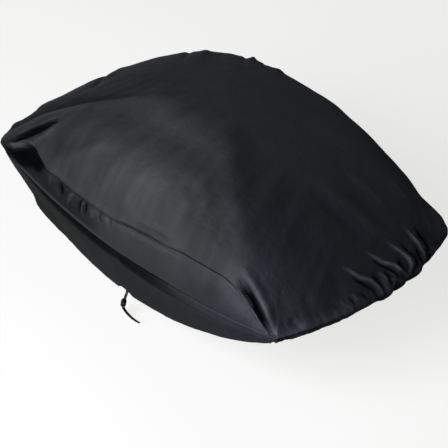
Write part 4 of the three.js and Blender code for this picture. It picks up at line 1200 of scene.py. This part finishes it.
def seam_binding(name, sign, edge, inner):
    kept = np.abs(verts[dome_grid[:, edge], 0]) < TAPE_END
    seam, normal = verts[dome_grid[kept, edge]], norms[dome_grid[kept, edge]]
    across = verts[dome_grid[kept, inner]] - seam
    for _ in range(6):
        normal[1:-1] = unit(steadied(normal))
        across[1:-1] = steadied(across)
    across = unit(across - normal * (across * normal).sum(1, keepdims=True))
    waver = lattice_noise(columns(arc_length(seam) / 0.03, 0.0, sign), seed=61)
    lean = 0.0012 * waver[:, None]
    points = np.stack([seam + across * (a * MM + lean * (depth / TAPE_DEPTH))
                       - normal * (depth * MM) for a, depth in TAPE_SECTION])
    ob = grid_object(name + "_tape", points, TAPE, sign > 0)
    thicken(ob, 0.0005, 0.0)
    register(ob, name)
    pile = Pile()
    for side in (-1, 1):
        line = seam + across * (side * 1.98 * MM + lean * 0.5) - normal * (4.9 * MM)
        stitches(pile, line, across * side, lift=0.0)
    register(pile.object(name + "_stitching", THREAD))


seam_binding("front_seam_binding", sign=-1, edge=0, inner=1)
seam_binding("rear_seam_binding", sign=1, edge=-1, inner=-2)

# ------------------------------------------------------------------ draw cord
PIVOT = np.array([OPENING_X, -0.193486, -0.266323])      # where the tails leave the hem
# the lock's axes: down the cords, along its barrel, and from one cord to the other
CORD_AXIS = np.array([-0.26968556, 0.0, -0.96294844])
BARREL_AXIS = np.array([0.64556182, -0.74199878, -0.18079753])
PAIR_AXIS = np.array([0.71450657, 0.67040123, -0.20010636])
CORD_RADIUS, TAIL_RADIUS = 0.0009, 0.00105
CORD_OFFSET = 0.0011                            # each cord from the middle of the pair
BRAID_LAY = 0.0030
TAIL_STEP = 0.0004


def smooth_curve(points, n):
    """A Catmull-Rom curve through points, n steps to each span."""
    points = np.asarray(points, float)
    p = np.concatenate([[2 * points[0] - points[1]], points, [2 * points[-1] - points[-2]]])
    u = np.linspace(0, 1, n, endpoint=False)[:, None]
    spans = [0.5 * (2 * b + (c - a) * u + (2 * a - 5 * b + 4 * c - d) * u ** 2
                    + (3 * b - a - 3 * c + d) * u ** 3)
             for a, b, c, d in zip(p, p[1:], p[2:], p[3:])]
    return np.concatenate(spans + [points[-1:]])


def braid(depth, strands):
    def relief(along, angle):
        twist = 2 * np.pi * along / BRAID_LAY
        return depth * np.sin(strands * angle + twist) * np.sin(strands * angle - twist) * 1.4
    return relief


def corner_turn(p, q):
    """The cord's bend between two runs, pushed out from the cover's middle."""
    middle = (p + q) / 2
    return [middle + unit(np.array([middle[0], middle[1], 0.0])) * 0.0022]


def lead_in(top, hem_end):
    """From the pair of cords up to the end of a casing."""
    return [top - CORD_AXIS * 0.0035, top + np.array([0.42, 0.6, 0.86]) * (hem_end - top)]


front_left, front_right, rear, left, right = (cord_runs[run[0]] for run in HEM_RUNS)
path = np.array(
    lead_in(PIVOT - PAIR_AXIS * CORD_OFFSET, front_left[-1]) + list(front_left[::-1][3::4])
    + corner_turn(front_left[0], left[0]) + list(left[2:-2:4])
    + corner_turn(left[-1], rear[0]) + list(rear[2:-2:4])
    + corner_turn(rear[-1], right[-1]) + list(right[::-1][2:-2:4])
    + corner_turn(right[0], front_right[-1]) + list(front_right[::-1][:-3:4])
    + lead_in(PIVOT + PAIR_AXIS * CORD_OFFSET, front_right[0])[::-1])
path = resample(smooth_curve(path, 8), 0.00095)
ob = make_mesh("draw_cord_braid", *tube(path, CORD_RADIUS, 10, relief=braid(0.07, 3)), CORD)
register(ob, "draw_cord")

# the tails: distances down the cord axis in mm, then (x, z) in mm from 3 mm above the pivot
TAIL_DOWN = (-5.2, -2.5, 0.7, 6, 13, 20, 27, 31)
TAIL_CURVE = [(-7.9, -36.6), (-5, -40), (-0.4, -42.6), (6.2, -44.9), (14, -46), (22.2, -45.8),
              (30.2, -44.6)]
line = [PIVOT + CORD_AXIS * d * MM for d in TAIL_DOWN]
line += [PIVOT + np.array([a * MM, 0, 0.003 + b * MM]) for a, b in TAIL_CURVE]
line = resample(smooth_curve(line, 10), TAIL_STEP)
tangent = unit(np.gradient(line, axis=0))
beside = unit(PAIR_AXIS - tangent * (tangent @ PAIR_AXIS)[:, None])
radius = np.full(len(line), TAIL_RADIUS)
radius[-14:-4] *= 0.93                          # whipped, then sealed
radius[-4:] *= np.array([0.98, 1.06, 1.02, 0.82])
braid_end = (len(line) - 16) * TAIL_STEP
for sign, node in ((-1, "cord_tail_left"), (1, "cord_tail_right")):
    strand = tube(line + beside * CORD_OFFSET * sign, radius, 14,
                  relief=lambda a, angle: braid(0.085, 4)(a, angle) * (a < braid_end))
    ob = make_mesh(node + "_braid", *strand, CORD)
    register(ob, node, ride=None)
    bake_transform(ob)

# ------------------------------------------------------------------ cord lock
LOCK = PIVOT + CORD_AXIS * 0.0255
BASIS = np.stack([PAIR_AXIS, BARREL_AXIS, CORD_AXIS], 1)
# profiles: radius, place along the barrel axis, in mm
BARREL_R = 4.3
BARREL = [(0.02, 5.6), (3.3, 5.6), (3.3, -4.2), (3.55, -4.2), (3.95, -4.1), (4.2, -3.85),
          (BARREL_R, -3.4), (BARREL_R, -2.2), (BARREL_R, -1.3), (4.12, -1.12),
          (BARREL_R, -0.9), (BARREL_R, 0.6), (BARREL_R, 2.2), (BARREL_R, 4.1),
          (BARREL_R, 4.9), (4.2, 5.5), (3.95, 6.05), (3.5, 6.42), (2.9, 6.58), (1.4, 6.6),
          (0.02, 6.6)]
PLUNGER = [(0.02, -6.6), (1.4, -6.55), (2.3, -6.35), (2.8, -6.0), (3.0, -5.5), (3.05, -5.0),
           (3.05, -3.0), (3.05, 0.0), (3.05, 1.7), (2.9, 2.05), (2.6, 2.2), (0.02, 2.2)]
SLOT_CLEARANCE = 0.35
SLOT_HALF_X = CORD_OFFSET / MM + CORD_RADIUS / MM + SLOT_CLEARANCE
SLOT_HALF_Y = CORD_RADIUS / MM + SLOT_CLEARANCE
PRESS = 2.0                                     # extra slot length in the plunger
SLOT_DEPTH = 0.008                              # the cutter's half length, metres


def barrel_grip(place, angle):
    """Shallow flutes round the middle of the barrel."""
    return 0.16 * np.where(np.abs(place - 1.6) < 2.7, np.minimum(0, np.cos(14 * angle)), 0)


def lathed(profile, n, ribs=None):
    """Turned about the lock's own y axis."""
    profile = np.asarray(profile, float) * MM
    angle = np.arange(n) / n * 2 * np.pi
    r = profile[:, :1] * np.ones((1, n))
    if ribs is not None:
        r = r + ribs(profile[:, 1:2] / MM, angle[None]) * MM
    points = np.stack([r * np.cos(angle), profile[:, 1:2] * np.ones((1, n)),
                       r * np.sin(angle)], -1).reshape(-1, 3)
    faces = [(i * n + k, i * n + (k + 1) % n, (i + 1) * n + (k + 1) % n, (i + 1) * n + k)
             for i in range(len(profile) - 1) for k in range(n)]
    faces.append(tuple(range(n))[::-1])
    faces.append(tuple((len(profile) - 1) * n + k for k in range(n)))
    return points, faces


def slot_cutter(half_x, y0, y1, n=10):
    """A flat round-ended bar along z that cuts the cord slot; sizes in mm."""
    r = (y1 - y0) / 2
    ring = [(centre + r * np.cos(turn), (y0 + y1) / 2 + r * np.sin(turn))
            for start, centre in ((-np.pi / 2, half_x - r), (np.pi / 2, r - half_x))
            for turn in (start + np.pi * k / n for k in range(n + 1))]
    ring = np.array(ring) * MM
    m = len(ring)
    points = np.concatenate([np.c_[ring, np.full(m, z)] for z in (-SLOT_DEPTH, SLOT_DEPTH)])
    faces = [(k, (k + 1) % m, m + (k + 1) % m, m + k) for k in range(m)]
    faces += [tuple(range(m))[::-1], tuple(range(m, 2 * m))]
    return points, faces


def solid(name, points, faces):
    ob = make_mesh(name, points, faces, np.zeros((len(points), 2)), PLASTIC, smooth=False)
    bm = bmesh.new()
    bm.from_mesh(ob.data)
    bmesh.ops.recalc_face_normals(bm, faces=bm.faces)
    bm.to_mesh(ob.data)
    bm.free()
    return ob


def apply_modifiers(ob):
    depsgraph = bpy.context.evaluated_depsgraph_get()
    mesh = bpy.data.meshes.new_from_object(ob.evaluated_get(depsgraph),
                                           preserve_all_data_layers=True, depsgraph=depsgraph)
    old = ob.data
    ob.modifiers.clear()
    ob.data = mesh
    mesh.name = ob.name
    bpy.data.meshes.remove(old)


def carve(name, body, cutter):
    """Cuts the slot through a turned body, eases its edges and sets it in place."""
    ob, cut = solid(name, *body), solid(name + "_cut", *cutter)
    slot = ob.modifiers.new("slot", "BOOLEAN")
    slot.operation, slot.object, slot.solver = "DIFFERENCE", cut, "EXACT"
    bevel = ob.modifiers.new("edges", "BEVEL")
    bevel.width, bevel.segments = 0.00018, 2
    bevel.limit_method, bevel.angle_limit = "ANGLE", math.radians(38)
    bevel.use_clamp_overlap = True
    bpy.context.view_layer.update()
    apply_modifiers(ob)
    cut_mesh = cut.data
    bpy.data.objects.remove(cut)
    bpy.data.meshes.remove(cut_mesh)
    mesh = ob.data
    mesh.polygons.foreach_set("use_smooth", np.ones(len(mesh.polygons), bool))
    mesh.transform(Matrix([[*BASIS[i], LOCK[i]] for i in range(3)] + [[0, 0, 0, 1]]))
    if mesh.uv_layers.get("UVMap") is None:
        mesh.uv_layers.new(name="UVMap")
    weighted = ob.modifiers.new("shade", "WEIGHTED_NORMAL")
    weighted.keep_sharp = True
    return ob


barrel = carve("cord_lock_barrel_shell", lathed(BARREL, 56, barrel_grip),
               slot_cutter(SLOT_HALF_X, -SLOT_HALF_Y, SLOT_HALF_Y))
register(barrel, "cord_lock_barrel", ride="cord_lock")
plunger = carve("cord_lock_plunger_button", lathed(PLUNGER, 48),
                slot_cutter(SLOT_HALF_X - 0.01, -SLOT_HALF_Y - PRESS, SLOT_HALF_Y))
register(plunger, "cord_lock_plunger", ride="lock_plunger")

COIL_RADIUS, COIL_START, COIL_LENGTH, COIL_TURNS = 1.9, 2.7, 2.4, 3.2     # mm
rise = np.arange(97) / 96
turn = rise * COIL_TURNS * 2 * np.pi
coil = np.stack([COIL_RADIUS * np.cos(turn), COIL_START + COIL_LENGTH * rise,
                 COIL_RADIUS * np.sin(turn)], 1) * MM
ob = make_mesh("cord_lock_spring_wire", *tube(coil @ BASIS.T + LOCK, 0.00025, 10), STEEL)
register(ob, "cord_lock_spring", ride="cord_lock")
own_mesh(ob)

# ------------------------------------------------------------------ blank care label, rear
LABEL_X = (0.0835, 0.1197)
LABEL_HEIGHT = (0.0205, 0.0418)                 # bottom and top above the hem
at = verts[rear_grid[-1], 0]
points, normals = above_hem(rear_up[:, (at > LABEL_X[0]) & (at < LABEL_X[1])],
                            np.linspace(*LABEL_HEIGHT, 15))
across = np.linspace(-1, 1, points.shape[1])[None]
up = np.linspace(0, 1, 15)[:, None]
# stands off the cloth: evenly, more towards its free lower edge, wavy, lifted at the sides
curl = (0.0022 + 0.0014 * (1 - up) ** 1.6
        + 0.0007 * np.sin(3 * across + 2.0 * up) * (1 - up) + 0.0005 * across ** 2)
points = points - normals * curl[..., None]
ob = grid_object("care_label_cloth", points, LABEL, True)
thicken(ob, 0.00035)
smoothing = ob.modifiers.new("smooth", "SUBSURF")
smoothing.levels = smoothing.render_levels = 1
register(ob, "care_label")
pile = Pile()
stitches(pile, points[-2] - normals[-2] * 0.00045, -normals[-2],
         length=0.0024, gap=0.001, r=0.00018)
register(pile.object("care_label_stitching", THREAD))


# ------------------------------------------------------------------ stage, light, camera
def build_floor(z, half=6, n=24):
    mesh = bpy.data.meshes.new("floor")
    steps = np.linspace(-half, half, n)
    mesh.from_pydata([(float(a), float(b), z) for a in steps for b in steps], [],
                     [tuple(f) for f in quads(np.arange(n * n).reshape(n, n), False).tolist()])
    floor = bpy.data.objects.new("floor", mesh)
    bpy.context.scene.collection.objects.link(floor)
    # brighter and self-lit to the camera, so that it lights the cloth only weakly
    g = material_graph("pale_floor")
    to_camera = g.node("LightPath").outputs["Is Camera Ray"]
    colour = g.mix(to_camera, (0.085, 0.105, 0.08, 1), (0.36, 0.36, 0.35, 1))
    diffuse = g.feed(g.node("BsdfDiffuse"), {0: colour})
    glow = g.feed(g.node("Emission"), {0: (1.0, 1.0, 0.985, 1),
                                       1: g.add(g.mul(to_camera, 0.74), 0.0)})
    both = g.feed(g.node("AddShader"), {0: diffuse.outputs[0], 1: glow.outputs[0]})
    g.feed(g.node("OutputMaterial"), {0: both.outputs[0]})
    mesh.materials.append(g.owner)
    floor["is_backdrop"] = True


def build_world():
    """White to the camera, nearly black as a light."""
    world = bpy.data.worlds.new("studio")
    bpy.context.scene.world = world
    g = Graph(world)
    colour = g.mix(g.node("LightPath").outputs["Is Camera Ray"],
                   (0.012, 0.012, 0.012, 1), (1, 1, 1, 1))
    background = g.feed(g.node("Background"), {0: colour})
    g.feed(g.node("OutputWorld"), {0: background.outputs[0]})


def disk_light(name, direction, distance, size, power, colour):
    light = bpy.data.lights.new(name, "AREA")
    light.shape = "DISK"
    light.size = size
    light.energy = power
    light.color = colour
    ob = bpy.data.objects.new(name, light)
    bpy.context.scene.collection.objects.link(ob)
    direction = Vector(direction).normalized()
    ob.location = Vector((0, 0, -0.12)) + direction * distance
    ob.rotation_mode = "QUATERNION"
    ob.rotation_quaternion = (-direction).to_track_quat("-Z", "Y")
    ob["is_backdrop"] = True


def build_camera(azimuth, elevation, roll, distance, target):
    """Looks at target from the front right and above; angles in degrees."""
    camera = bpy.data.cameras.new("camera")
    ob = bpy.data.objects.new("camera", camera)
    bpy.context.scene.collection.objects.link(ob)
    az, el, roll = math.radians(azimuth), math.radians(elevation), math.radians(roll)
    back = Vector((math.sin(az) * math.cos(el), -math.cos(az) * math.cos(el), math.sin(el)))
    level = Vector((math.cos(az), math.sin(az), 0))
    upright = Vector((-math.sin(az) * math.sin(el), math.cos(az) * math.sin(el), math.cos(el)))
    right = level * math.cos(roll) + upright * math.sin(roll)
    up = upright * math.cos(roll) - level * math.sin(roll)
    place = Vector(target) + back * distance
    ob.matrix_world = Matrix([*zip(right, up, back, place), (0, 0, 0, 1)])
    camera.sensor_width = 36.0
    camera.lens = 124.255101
    camera.shift_x = 0.01105156
    camera.shift_y = -0.10247924
    camera.clip_start, camera.clip_end = 0.05, 50
    bpy.context.scene.camera = ob


lo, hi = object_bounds()
build_floor(min(lo[2], -0.3107) - 0.0015)
build_world()
disk_light("key", direction=(-0.05, -0.895, 0.445), distance=2.6, size=2.37, power=93.0,
           colour=(0.93, 0.95, 1.0))
disk_light("back", direction=(0.2, 0.9, 0.6), distance=3.0, size=2.18, power=6.2,
           colour=(0.975, 0.985, 1.0))
build_camera(azimuth=43.1976, elevation=35.3861, roll=4.7183, distance=2.4143,
             target=(0, 0, 0.12 + HEM_Z))
bpy.context.scene.view_settings.view_transform = "Standard"

lo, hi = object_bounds()
